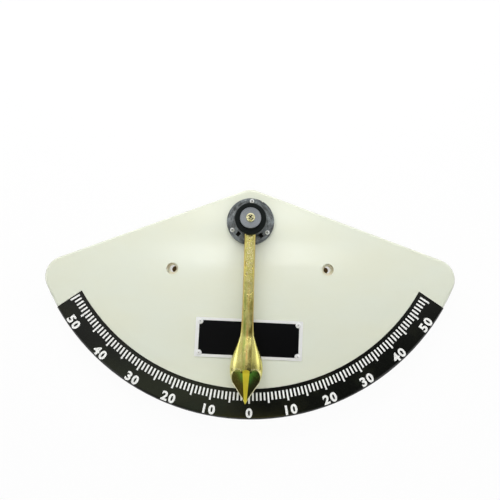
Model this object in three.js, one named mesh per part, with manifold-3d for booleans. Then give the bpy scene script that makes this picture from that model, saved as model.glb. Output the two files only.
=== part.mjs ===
// Wall-mounted pendulum inclinometer: a fan-shaped moulded dial board with a printed scale along
// its lower edge, and a cast brass pendulum that hangs on two ball bearings in front of it.
// Millimetres. +Z is up, +X is to the viewer's right, and the dial faces -Y. The back of the board
// lies in the plane y = 0, and the origin is on that back, midway between the two fixing holes.
// Everything is drawn in the dial's own frame (x right, y up, z out of the wall) and turned at the end.
import * as THREE from 'three';
import { mergeVertices } from 'three/addons/utils/BufferGeometryUtils.js';
import Module from 'manifold-3d';

const wasm = await Module();
wasm.setup();

const DEGREE = Math.PI / 180;
const HALF = 0.5;
const cornerShare = 0.3;

// Dial board: outline
const ARC_RADIUS = 317.2;
const SCALE_CENTRE_RISE = 44.5;
const APEX_RISE = 47.6;
const APEX_RADIUS = 28;
const CORNER_RADIUS = 28.4;
const TOP_SLOPE = 20.5 * DEGREE;
const PIVOT_RISE = 67;

// Dial board: moulding
const BOARD_DEPTH = 26;
const SKIN = 4;
const WALL = 3.6;
const EDGE_ROUND = 4;
const RIB = 3;
const CROSS_BOSS_RADIUS = 9;
const FIXING_SPACING = 219.2;
const FIXING_HOLE = 9.5;
const COUNTERBORE = 16.5;
const COUNTERBORE_DEPTH = 8;
const FIXING_BOSS_WALL = 4.25;
const HUB_PAD_MARGIN = 2.5;
const HUB_PAD_THICKNESS = 12;

// Scale band, printed along the arc
const BAND_WIDTH = 41.2;
const BAND_END = 58.95 * DEGREE;
const BAND_END_CUT = 0.45 * DEGREE;
const BAND_SHIFT = 0.33 * DEGREE;
const BAND_THICKNESS = 0.5;
const BAND_WRAP_GAP = 0.3;
const DIVISIONS = 55;
const DIVISION_STEP = 1.0525 * DEGREE;
const PRINT_SHIFT = 0.05 * DEGREE;
const LONG_TICK_EVERY = 5;
const TICK_INSET = 5.2;
const TICK_WIDTH = 2.4;
const SHORT_TICK = 10.7;
const LONG_TICK = 14.5;

// Nameplate
const PLATE_WIDTH = 149;
const PLATE_HEIGHT = 54;
const PLATE_THICKNESS = 1;
const PLATE_CORNER = 1.5;
const PLATE_BORDER_X = 5;
const PLATE_BORDER_Y = 3.75;
const PLATE_ETCH = 0.2;
const PLATE_CLEARANCE = 40.6;
const PLATE_SHIFT = -1;
const PLATE_TURN = -2.1 * DEGREE;
const RIVET_INSET_X = 6.25;
const RIVET_INSET_Y = 5.45;
const RIVET_HEAD = 6.8;
const RIVET_HEAD_HEIGHT = 1.3;
const RIVET_SHANK = 3.2;
const RIVET_TAIL = 5;
const RIVET_TAIL_LENGTH = 2.4;
const RIVET_DIMPLE = 1.9;
const RIVET_DIMPLE_DEPTH = 0.8;
const RIVET_LAND = 0.6;

// Hub flange and its screws
const FLANGE_DIAMETER = 67;
const FLANGE_RIM = 2;
const FLANGE_LEDGE = 13.5;
const FLANGE_FILLET = 3;
const FLANGE_TURN = -3.5 * DEGREE;
const FLANGE_SCREWS = 3;
const FLANGE_SCREW_INSET = 5;
const FLANGE_SCREW_HEAD = 6.3;
const FLANGE_SCREW_HEAD_HEIGHT = 2.2;
const FLANGE_SCREW_SHANK = 3.2;
const FLANGE_SCREW_LENGTH = 14;
const SLOT_ANGLE = 140 * DEGREE;
const SLOT_INSET = 8.7;
const SLOT_LENGTH = 5.4;
const SLOT_WIDTH = 6.4;
const SLOT_DEPTH = 3;
const NICK_ANGLE = -30 * DEGREE;
const NICK_WIDTH = 2;
const NICK_LENGTH = 2.6;

// Pivot shaft, its nut, and what the brass screw holds on the front end
const SHAFT = 10;
const SHAFT_COLLAR_WIDTH = 2.5;
const SHAFT_COLLAR_THICKNESS = 2;
const SHAFT_THREAD_REACH = 9.5;
const SHAFT_CHAMFER = 0.8;
const NUT_ACROSS_FLATS = 17;
const NUT_HEIGHT = 5;
const NUT_WASHER = 21;
const NUT_WASHER_THICKNESS = 2;
const RETAINING_WASHER = 28.5;
const RETAINING_WASHER_THICKNESS = 4;
const RETAINING_WASHER_CHAMFER = 0.5;
const RETAINING_SCREW = 6;
const RETAINING_SCREW_LENGTH = 16;
const RETAINING_SCREW_HEAD = 12.7;
const RETAINING_SCREW_HEAD_HEIGHT = 6.5;
const RECESS_WIDTH = 1.5;
const RECESS_REACH = 6.6;
const RECESS_DEPTH = 2.4;
const RECESS_TURN = -40 * DEGREE;

// Ball bearings
const BEARING_OUTER = 26;
const BEARING_WIDTH = 8;
const BEARING_SPACING = 5;
const BALLS = 7;
const BALL = 4.76;
const RACE_LAND_GAP = 1.3;
const GROOVE_PLAY = 0.13;
const OUTER_GROOVE_PLAY = 0.25;
const GROOVE_MOUTH = 2.2;
const SHIELD_THICKNESS = 0.35;
const SHIELD_RECESS = 0.15;
const SHIELD_GAP = 0.15;
const CAGE_WALL = 1.5;
const CAGE_RIM = 0.7;
const CAGE_SKIRT = 0.5;
const CAGE_PLAY = 0.2;
const SPACER_WALL = 2;

// Bearing housing, the black ring in front of the pendulum's eye
const HOUSING_WALL = 2.4;
const HOUSING_OVERHANG = 6;
const HOUSING_EDGE = 1.2;
const HOUSING_SHOULDER = 1.5;

// Pendulum casting. The heights of the bob's forms are measured up from its tip.
const PENDULUM_LENGTH = 247.8;
const REST_LEAN = -1.15 * DEGREE;
const ARM_WIDTH = 15.2;
const ARM_THICKNESS = 9;
const EYE_WALL = 4.9;
const EYE_OVERLAP = 3;
const BOB_HEIGHT = 107.8;
const BOB_WIDTH = 44;
const BOB_THICKNESS = 25;
const BOB_CLEARANCE = 3.3;
const SHOULDER_HEIGHT = 27;
const NIB_HEIGHT = 6;
const NIB_WIDTH = 7.4;
const TIP_WIDTH = 1;
const LOWER_EDGE = 4;
const RIDGE_HEIGHT = 47;
const RIDGE_END = 1.2;
const FACET_HEIGHT = 47.5;

// Clearances and drawing fineness
const FIT = 0.1;
const LOOSE = 0.3;
const RUNNING_GAP = 0.3;
const OVERRUN = 5;
const ARC_STEPS = 44;
const CORNER_STEPS = 7;
const ROUND_STEPS = 3;
const FINE_SIDES = 36;
const BEARING_SIDES = 18;
const SMALL_SIDES = 12;
const BOB_STEPS = 16;

// Radii of the scale band's inner edge and of the inner ends of its divisions
const BAND_INNER_RADIUS = ARC_RADIUS - BAND_WIDTH;
const TICK_INNER_RADIUS = BAND_INNER_RADIUS + TICK_INSET;

// Nameplate: its height above the fixing holes, its etched field and its rivets
const PLATE_FOOT = PIVOT_RISE + SCALE_CENTRE_RISE - BAND_INNER_RADIUS + PLATE_CLEARANCE;
const PLATE_RISE = PLATE_FOOT + PLATE_HEIGHT * HALF;
const FIELD_WIDTH = PLATE_WIDTH - PLATE_BORDER_X * 2;
const FIELD_HEIGHT = PLATE_HEIGHT - PLATE_BORDER_Y * 2;
const RIVET_SPACING_X = PLATE_WIDTH - RIVET_INSET_X * 2;
const RIVET_SPACING_Y = PLATE_HEIGHT - RIVET_INSET_Y * 2;

// Diameters at the pivot, each from what it fits or carries
const FIXING_BOSS = COUNTERBORE + FIXING_BOSS_WALL * 2;
const HUB_PAD = FLANGE_DIAMETER + HUB_PAD_MARGIN * 2;
const FLANGE_TOP_RADIUS = FLANGE_DIAMETER * HALF - FLANGE_LEDGE;
const FLANGE_SCREW_CIRCLE = FLANGE_DIAMETER - FLANGE_SCREW_INSET * 2;
const SLOT_CIRCLE = FLANGE_DIAMETER - SLOT_INSET * 2;
const SHAFT_COLLAR = SHAFT + SHAFT_COLLAR_WIDTH * 2;
const BALL_CIRCLE = (SHAFT + BEARING_OUTER) * HALF;
const HOUSING_NECK = BEARING_OUTER + (FIT + HOUSING_WALL) * 2;
const HOUSING_RING = HOUSING_NECK + HOUSING_OVERHANG * 2;
const EYE_DIAMETER = HOUSING_NECK + (FIT + EYE_WALL) * 2;

// Distances along the pendulum from the pivot
const ARM_START = EYE_DIAMETER * HALF - EYE_OVERLAP;
const BOB_START = PENDULUM_LENGTH - BOB_HEIGHT;
const SHOULDER_AT = PENDULUM_LENGTH - SHOULDER_HEIGHT;
const NIB_AT = PENDULUM_LENGTH - NIB_HEIGHT;
const RIDGE_AT = PENDULUM_LENGTH - RIDGE_HEIGHT;
const FACET_AT = PENDULUM_LENGTH - FACET_HEIGHT;

// Distances out from the front face of the board, along the pivot. The flange is as high as the bob needs
// to swing clear of the board.
const ARM_MID = BOB_CLEARANCE + BOB_THICKNESS * HALF;
const ARM_BACK = ARM_MID - ARM_THICKNESS * HALF;
const FLANGE_TOP = ARM_BACK - RUNNING_GAP - SHAFT_COLLAR_THICKNESS;
const FLANGE_FACE = FLANGE_TOP - FLANGE_FILLET;
const RING_BACK = ARM_BACK + ARM_THICKNESS + RUNNING_GAP;
const REAR_BEARING_MID = FLANGE_TOP + SHAFT_COLLAR_THICKNESS + BEARING_WIDTH * HALF;
const FRONT_BEARING_MID = REAR_BEARING_MID + BEARING_WIDTH + BEARING_SPACING;
const SHAFT_FRONT = FRONT_BEARING_MID + BEARING_WIDTH * HALF;
const RING_FRONT = SHAFT_FRONT - RUNNING_GAP * 2;

// A closed mesh as a solid that can be joined and cut.
function toSolid(source) {
  let geometry = source.clone();
  geometry.deleteAttribute('normal');
  geometry.deleteAttribute('uv');
  geometry = mergeVertices(geometry);
  const index = geometry.index.array;
  const triangles = [];
  for (let i = 0; i < index.length; i += 3) {
    const [a, b, c] = [index[i], index[i + 1], index[i + 2]];
    if (a !== b && b !== c && c !== a) triangles.push(a, b, c);
  }
  const vertProperties = new Float32Array(geometry.attributes.position.array);
  const triVerts = new Uint32Array(triangles);
  return new wasm.Manifold(new wasm.Mesh({ numProp: 3, vertProperties, triVerts }));
}

// The solid's triangles as a geometry that three.js can show.
function toGeometry(solid) {
  const mesh = solid.getMesh();
  const geometry = new THREE.BufferGeometry();
  geometry.setAttribute('position', new THREE.BufferAttribute(new Float32Array(mesh.vertProperties), 3));
  geometry.setIndex(new THREE.BufferAttribute(new Uint32Array(mesh.triVerts), 1));
  return geometry;
}

// A flat shape drawn in x and y, thick from one z to another.
function slab(shape, from, to, curveSegments = SMALL_SIDES) {
  const options = { depth: to - from, bevelEnabled: false, curveSegments };
  return new THREE.ExtrudeGeometry(shape, options).translate(0, 0, from);
}

// A round bar along z.
function bar(diameter, from, to, sides = FINE_SIDES) {
  const geometry = new THREE.CylinderGeometry(diameter * HALF, diameter * HALF, to - from, sides);
  return geometry.rotateX(Math.PI / 2).translate(0, 0, (from + to) * HALF);
}

// A block with its middle at (x, y), thick from one z to another.
function block(width, height, x, y, from, to) {
  return new THREE.BoxGeometry(width, height, to - from).translate(x, y, (from + to) * HALF);
}

// A profile of [radius, z] corners turned about the z axis. Off the axis it is closed into a ring.
function turned(profile, sides = FINE_SIDES) {
  const corners = profile.map(([radius, z]) => new THREE.Vector2(radius, z));
  if (profile[0][0] > 0) corners.push(corners[0].clone());
  return new THREE.LatheGeometry(corners, sides).rotateX(Math.PI / 2);
}

// A skin through rings of equally many points, closed by a flat cap at each end.
function loft(rings) {
  const count = rings[0].length;
  const position = rings.flatMap((ring) => ring.flatMap((point) => [point.x, point.y, point.z]));
  const index = [];
  for (let level = 0; level + 1 < rings.length; level += 1) {
    for (let i = 0; i < count; i += 1) {
      const a = level * count + i;
      const b = level * count + ((i + 1) % count);
      index.push(a, b, b + count, a, b + count, a + count);
    }
  }
  const cap = (ring, offset, flip) => {
    const [p, q, r] = [ring[0], ring[Math.floor(count / 3)], ring[Math.floor((count * 2) / 3)]];
    const normal = q.clone().sub(p).cross(r.clone().sub(p)).normalize();
    const side = q.clone().sub(p).normalize();
    const up = normal.clone().cross(side);
    const flat = ring.map((point) => new THREE.Vector2(point.dot(side), point.dot(up)));
    for (const [a, b, c] of THREE.ShapeUtils.triangulateShape(flat, [])) {
      index.push(...(flip ? [offset + a, offset + c, offset + b] : [offset + a, offset + b, offset + c]));
    }
  };
  cap(rings[0], 0, true);
  cap(rings[rings.length - 1], (rings.length - 1) * count, false);
  const geometry = new THREE.BufferGeometry();
  geometry.setAttribute('position', new THREE.Float32BufferAttribute(position, 3));
  geometry.setIndex(index);
  return geometry;
}

// Everything in front of a sloping plane through three points given anticlockwise from the front.
function spaceInFront(p, q, r, size) {
  const normal = q.clone().sub(p).cross(r.clone().sub(p)).normalize();
  const turn = new THREE.Quaternion().setFromUnitVectors(new THREE.Vector3(0, 0, 1), normal);
  const centre = p.clone().add(q).add(r).divideScalar(3).addScaledVector(normal, size * HALF);
  const matrix = new THREE.Matrix4().compose(centre, turn, new THREE.Vector3(1, 1, 1));
  return new THREE.BoxGeometry(size, size, size).applyMatrix4(matrix);
}

function material(color, roughness, metalness) {
  return new THREE.MeshStandardMaterial({ color, roughness, metalness });
}

const creamPlastic = material(0xe6e8dc, 0.22, 0);
const blackFilm = material(0x10110f, 0.2, 0);
const aluminium = material(0xd9dadc, 0.35, 1);
const rivetMetal = material(0xdcdcde, 0.4, 1);
const greyPlastic = material(0x4a4f52, 0.3, 0);
const zincSteel = material(0xcfd2d2, 0.3, 1);
const blackPlastic = material(0x1c2121, 0.7, 0);
const turnedSteel = material(0xa7a9ad, 0.35, 1);
const bearingSteel = material(0xb9bcc0, 0.15, 1);
const cageBrass = material(0xc2a45a, 0.35, 1);
const brass = material(0xc9a93c, 0.25, 1);

const inclinometer = new THREE.Group();
inclinometer.rotation.x = Math.PI / 2;

// Pieces drawn from the front face of the board at the pivot.
const pivot = new THREE.Group();
pivot.position.set(0, PIVOT_RISE, BOARD_DEPTH);
inclinometer.add(pivot);

// What swings, at the lean at which it hangs in the photograph.
const swinging = new THREE.Group();
swinging.rotation.z = REST_LEAN;
pivot.add(swinging);

function piece(name, geometry, finish, parent) {
  const mesh = new THREE.Mesh(geometry, finish.clone());
  mesh.name = name;
  parent.add(mesh);
  return mesh;
}

// Points of an arc from one angle to another, as seen from the front, with both ends.
function arcPoints(x, y, radius, from, to, steps) {
  return Array.from({ length: steps + 1 }, (_, i) => {
    const angle = from + ((to - from) * i) / steps;
    return new THREE.Vector2(x + radius * Math.cos(angle), y + radius * Math.sin(angle));
  });
}

// The board's outline, drawn in by an inset all round: the arc, two corners, two straight tops, the apex.
function boardOutline(inset) {
  const centre = PIVOT_RISE + SCALE_CENTRE_RISE;
  const apex = PIVOT_RISE + APEX_RISE - APEX_RADIUS;
  const slope = new THREE.Vector2(Math.cos(TOP_SLOPE), -Math.sin(TOP_SLOPE));
  const outward = new THREE.Vector2(Math.sin(TOP_SLOPE), Math.cos(TOP_SLOPE));
  const start = new THREE.Vector2(0, apex - centre).addScaledVector(outward, APEX_RADIUS - CORNER_RADIUS);
  const along = start.dot(slope);
  const reach = ARC_RADIUS - CORNER_RADIUS;
  const run = -along + Math.sqrt(along * along - start.lengthSq() + reach * reach);
  const corner = start.addScaledVector(slope, run);
  const meet = Math.atan2(corner.y, corner.x);
  const top = Math.PI / 2 - TOP_SLOPE;
  const cornerRadius = CORNER_RADIUS - inset;
  const cornerY = corner.y + centre;
  return [
    ...arcPoints(0, centre, ARC_RADIUS - inset, -Math.PI - meet, meet, ARC_STEPS),
    ...arcPoints(corner.x, cornerY, cornerRadius, meet, top, CORNER_STEPS).slice(1),
    ...arcPoints(0, apex, APEX_RADIUS - inset, top, Math.PI - top, CORNER_STEPS),
    ...arcPoints(-corner.x, cornerY, cornerRadius, Math.PI - top, Math.PI - meet, CORNER_STEPS).slice(0, -1),
  ];
}

function atHeight(points, z) {
  return points.map((point) => new THREE.Vector3(point.x, point.y, z));
}

// Dial board: one moulding with a rounded front edge, open at the back, stiffened by ribs and bosses.
function makeBoard() {
  const rounding = Array.from({ length: ROUND_STEPS + 1 }, (_, i) => {
    const angle = ((Math.PI / 2) * i) / ROUND_STEPS;
    const inset = EDGE_ROUND * (1 - Math.cos(angle));
    return atHeight(boardOutline(inset), BOARD_DEPTH - EDGE_ROUND * (1 - Math.sin(angle)));
  });
  const outside = toSolid(loft([atHeight(boardOutline(0), 0), ...rounding]));
  const ceiling = BOARD_DEPTH - SKIN;
  const inner = boardOutline(WALL);
  let hollow = toSolid(loft([atHeight(inner, -OVERRUN), atHeight(inner, ceiling)]));
  const fixings = [-FIXING_SPACING * HALF, FIXING_SPACING * HALF];
  const across = ARC_RADIUS * 2;
  const stiffeners = [
    block(across, RIB, 0, 0, -OVERRUN, ceiling),
    block(RIB, ARC_RADIUS, 0, -ARC_RADIUS * HALF, -OVERRUN, ceiling),
    block(RIB, PIVOT_RISE, 0, PIVOT_RISE * HALF, -OVERRUN, ceiling),
    bar(CROSS_BOSS_RADIUS * 2, -OVERRUN, ceiling, SMALL_SIDES),
    bar(HUB_PAD, BOARD_DEPTH - HUB_PAD_THICKNESS, ceiling).translate(0, PIVOT_RISE, 0),
    bar(NUT_WASHER + WALL * 2, BOARD_DEPTH - HUB_PAD_THICKNESS, ceiling).translate(0, PIVOT_RISE, 0),
  ];
  for (const x of fixings) {
    stiffeners.push(block(RIB, across, x, 0, -OVERRUN, ceiling));
    stiffeners.push(bar(FIXING_BOSS, -OVERRUN, ceiling).translate(x, 0, 0));
  }
  // The rib above the cross boss stops at the hub pad, so the nut can be reached.
  const nutWell = bar(HUB_PAD, -OVERRUN, BOARD_DEPTH - HUB_PAD_THICKNESS);
  let kept = toSolid(stiffeners[0]);
  for (const stiffener of stiffeners.slice(1)) kept = kept.add(toSolid(stiffener));
  kept = kept.subtract(toSolid(nutWell.translate(0, PIVOT_RISE, 0)));
  hollow = hollow.subtract(kept);
  const front = BOARD_DEPTH + OVERRUN;
  const pilotEnd = BOARD_DEPTH + FLANGE_FACE - FLANGE_SCREW_LENGTH - LOOSE;
  const holes = [bar(SHAFT + FIT * 2, -OVERRUN, front).translate(0, PIVOT_RISE, 0)];
  for (const x of fixings) {
    holes.push(bar(FIXING_HOLE, -OVERRUN, front).translate(x, 0, 0));
    holes.push(bar(COUNTERBORE, BOARD_DEPTH - COUNTERBORE_DEPTH, front).translate(x, 0, 0));
  }
  for (const [x, y] of flangeScrewPlaces()) {
    const hole = bar(FLANGE_SCREW_SHANK + FIT * 2, pilotEnd, front, SMALL_SIDES);
    holes.push(hole.translate(x, PIVOT_RISE + y, 0));
  }
  for (const [x, y] of rivetPlaces()) {
    holes.push(bar(RIVET_SHANK + LOOSE * 2, -OVERRUN, front, SMALL_SIDES).translate(x, y, 0));
  }
  let board = outside.subtract(hollow);
  for (const hole of holes) board = board.subtract(toSolid(hole));
  return toGeometry(board);
}

function flangeScrewPlaces() {
  return Array.from({ length: FLANGE_SCREWS }, (_, i) => {
    const angle = Math.PI / 2 + FLANGE_TURN + (i * Math.PI * 2) / FLANGE_SCREWS;
    const radius = FLANGE_SCREW_CIRCLE * HALF;
    return [radius * Math.cos(angle), radius * Math.sin(angle)];
  });
}

// Rivet places in the dial's frame, turned with the nameplate.
function rivetPlaces() {
  const places = [];
  for (const sideways of [-HALF, HALF]) {
    for (const upwards of [-HALF, HALF]) {
      const place = new THREE.Vector2(sideways * RIVET_SPACING_X, upwards * RIVET_SPACING_Y);
      place.rotateAround(new THREE.Vector2(0, 0), PLATE_TURN);
      places.push([place.x + PLATE_SHIFT, place.y + PLATE_RISE]);
    }
  }
  return places;
}

// Scale band: black printed film that wraps over the rounded lower edge, with a slot for each division.
function makeScaleBand() {
  const wrapStart = ARC_RADIUS - EDGE_ROUND + BAND_WRAP_GAP;
  const wrap = (radius) => Array.from({ length: ROUND_STEPS + 1 }, (_, i) => {
    const angle = ((Math.PI / 2) * i) / ROUND_STEPS;
    return [wrapStart + radius * Math.sin(angle), BOARD_DEPTH - EDGE_ROUND + radius * Math.cos(angle)];
  });
  const section = [
    [BAND_INNER_RADIUS, BOARD_DEPTH],
    [BAND_INNER_RADIUS, BOARD_DEPTH + BAND_THICKNESS],
    ...wrap(EDGE_ROUND + BAND_THICKNESS),
    ...wrap(EDGE_ROUND).reverse(),
  ];
  // The film sits a little to the right, and its ends are cut a little off the radial line.
  const rings = Array.from({ length: ARC_STEPS + 1 }, (_, i) => {
    const turn = (2 * i) / ARC_STEPS - 1;
    return section.map(([radius, z]) => {
      const end = BAND_END - (BAND_END_CUT * (radius - BAND_INNER_RADIUS)) / BAND_WIDTH;
      const angle = turn * end + BAND_SHIFT;
      const x = radius * Math.sin(angle);
      const y = PIVOT_RISE + SCALE_CENTRE_RISE - radius * Math.cos(angle);
      return new THREE.Vector3(x, y, z);
    });
  });
  let band = toSolid(loft(rings));
  const slots = [];
  for (let division = -DIVISIONS; division <= DIVISIONS; division += 1) {
    const length = division % LONG_TICK_EVERY === 0 ? LONG_TICK : SHORT_TICK;
    const middle = -(TICK_INNER_RADIUS + length * HALF);
    const slot = block(TICK_WIDTH, length, 0, middle, BOARD_DEPTH - OVERRUN, BOARD_DEPTH + OVERRUN);
    slot.rotateZ(division * DIVISION_STEP + PRINT_SHIFT).translate(0, PIVOT_RISE + SCALE_CENTRE_RISE, 0);
    slots.push(toSolid(slot));
  }
  band = band.subtract(wasm.Manifold.compose(slots));
  return toGeometry(band);
}

// Nameplate: an aluminium plate with a shallow etched field and a bare border, held by four rivets.
function makeNameplate() {
  const outline = new THREE.Shape();
  const [w, h, r] = [PLATE_WIDTH * HALF, PLATE_HEIGHT * HALF, PLATE_CORNER];
  outline.moveTo(-w + r, -h);
  outline.absarc(w - r, -h + r, r, -Math.PI / 2, 0, false);
  outline.absarc(w - r, h - r, r, 0, Math.PI / 2, false);
  outline.absarc(-w + r, h - r, r, Math.PI / 2, Math.PI, false);
  outline.absarc(-w + r, -h + r, r, Math.PI, Math.PI * 1.5, false);
  let plate = toSolid(slab(outline, 0, PLATE_THICKNESS, CORNER_STEPS));
  const front = PLATE_THICKNESS + OVERRUN;
  let field = toSolid(block(FIELD_WIDTH, FIELD_HEIGHT, 0, 0, PLATE_THICKNESS - PLATE_ETCH, front));
  for (const x of [-RIVET_SPACING_X * HALF, RIVET_SPACING_X * HALF]) {
    for (const y of [-RIVET_SPACING_Y * HALF, RIVET_SPACING_Y * HALF]) {
      const land = bar(RIVET_HEAD + RIVET_LAND * 2, 0, front, SMALL_SIDES).translate(x, y, 0);
      field = field.subtract(toSolid(land));
      const hole = bar(RIVET_SHANK + LOOSE * 2, -OVERRUN, front, SMALL_SIDES).translate(x, y, 0);
      plate = plate.subtract(toSolid(hole));
    }
  }
  return toGeometry(plate.subtract(field));
}

// Blind rivet: a low domed head with a dimple, a shank and the tail that grips the back of the skin.
function makeRivet() {
  const [head, shank] = [RIVET_HEAD * HALF, RIVET_SHANK * HALF];
  const [tail, dimple] = [RIVET_TAIL * HALF, RIVET_DIMPLE * HALF];
  const [domeRadiusShare, domeHeightShare] = [0.92, 0.6];
  const seat = PLATE_THICKNESS;
  const rise = RIVET_HEAD_HEIGHT;
  return turned([
    [0, -SKIN - RIVET_TAIL_LENGTH],
    [shank, -SKIN - RIVET_TAIL_LENGTH],
    [tail, -SKIN - RIVET_TAIL_LENGTH * HALF],
    [tail, -SKIN],
    [shank, -SKIN],
    [shank, seat],
    [head, seat],
    [head * domeRadiusShare, seat + rise * domeHeightShare],
    [dimple, seat + rise],
    [dimple, seat + rise - RIVET_DIMPLE_DEPTH],
    [0, seat + rise - RIVET_DIMPLE_DEPTH],
  ], SMALL_SIDES);
}

// Hub flange: a round moulding with a filleted rise in the middle, three screw holes and two slots.
function makeFlange() {
  const rim = FLANGE_DIAMETER * HALF;
  const front = FLANGE_TOP + OVERRUN;
  const fillet = Array.from({ length: ROUND_STEPS + 1 }, (_, i) => {
    const angle = ((Math.PI / 2) * i) / ROUND_STEPS;
    const radius = FLANGE_TOP_RADIUS + FLANGE_FILLET * (1 - Math.sin(angle));
    return [radius, FLANGE_FACE + FLANGE_FILLET * (1 - Math.cos(angle))];
  });
  let flange = toSolid(turned([
    [SHAFT * HALF + FIT, 0],
    [rim, 0],
    [rim, FLANGE_FACE - FLANGE_RIM],
    [rim - FLANGE_RIM * cornerShare, FLANGE_FACE - FLANGE_RIM * cornerShare],
    [rim - FLANGE_RIM, FLANGE_FACE],
    ...fillet,
    [FLANGE_TOP_RADIUS, FLANGE_TOP],
    [SHAFT * HALF + FIT, FLANGE_TOP],
  ].filter(([radius, z], i, all) => i === 0 || radius !== all[i - 1][0] || z !== all[i - 1][1])));
  for (const [x, y] of flangeScrewPlaces()) {
    const hole = bar(FLANGE_SCREW_SHANK + FIT * 2, -OVERRUN, front, SMALL_SIDES).translate(x, y, 0);
    flange = flange.subtract(toSolid(hole));
  }
  for (const side of [-1, 1]) {
    const floor = FLANGE_FACE - SLOT_DEPTH;
    const slot = block(SLOT_LENGTH, SLOT_WIDTH, 0, SLOT_CIRCLE * HALF, floor, front);
    slot.rotateZ(side * SLOT_ANGLE + FLANGE_TURN);
    flange = flange.subtract(toSolid(slot));
  }
  const nick = block(NICK_WIDTH, NICK_LENGTH, 0, rim, -OVERRUN, front).rotateZ(NICK_ANGLE);
  flange = flange.subtract(toSolid(nick));
  return toGeometry(flange);
}

// Pan-head screw along z with its seat at z = 0 and, if asked for, a cross recess in its head.
function makeScrew(head, headHeight, shank, length, sides) {
  const [headRadius, shankRadius] = [head * HALF, shank * HALF];
  const pointShare = 0.7;
  const domeShares = [[1, 0.5], [0.86, 0.8], [0.55, 0.96], [0, 1]];
  return toSolid(turned([
    [0, -length],
    [shankRadius * pointShare, -length],
    [shankRadius, -length + shankRadius * HALF],
    [shankRadius, 0],
    [headRadius, 0],
    ...domeShares.map(([across, up]) => [headRadius * across, headHeight * up]),
  ], sides));
}

function crossRecess(reach, width, top, depth) {
  const first = toSolid(block(reach, width, 0, 0, top - depth, top + OVERRUN));
  return first.add(toSolid(block(width, reach, 0, 0, top - depth, top + OVERRUN)));
}

// Pivot shaft: threaded behind the board, a collar on the flange, a journal for the bearings, a tapped end.
function makeShaft() {
  const radius = SHAFT * HALF;
  const back = -HUB_PAD_THICKNESS - SHAFT_THREAD_REACH;
  const tapped = RETAINING_SCREW * HALF + FIT;
  const bottom = SHAFT_FRONT - RETAINING_SCREW_LENGTH;
  return turned([
    [0, back],
    [radius - SHAFT_CHAMFER, back],
    [radius, back + SHAFT_CHAMFER],
    [radius, FLANGE_TOP],
    [SHAFT_COLLAR * HALF, FLANGE_TOP],
    [SHAFT_COLLAR * HALF, FLANGE_TOP + SHAFT_COLLAR_THICKNESS],
    [radius, FLANGE_TOP + SHAFT_COLLAR_THICKNESS],
    [radius, SHAFT_FRONT],
    [tapped, SHAFT_FRONT],
    [tapped, bottom],
    [0, bottom],
  ], BEARING_SIDES);
}

function makeNut() {
  const cornerRadius = (NUT_ACROSS_FLATS * HALF) / Math.cos(Math.PI / 6);
  const hexagon = new THREE.Shape(arcPoints(0, 0, cornerRadius, 0, Math.PI * 2, 6).slice(0, -1));
  const bore = toSolid(bar(SHAFT + FIT * 2, -NUT_HEIGHT - OVERRUN, OVERRUN, BEARING_SIDES));
  return toGeometry(toSolid(slab(hexagon, -NUT_HEIGHT, 0)).subtract(bore));
}

function ring(outer, inner, from, to, sides) {
  return turned([[inner * HALF, from], [outer * HALF, from], [outer * HALF, to], [inner * HALF, to]], sides);
}

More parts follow.
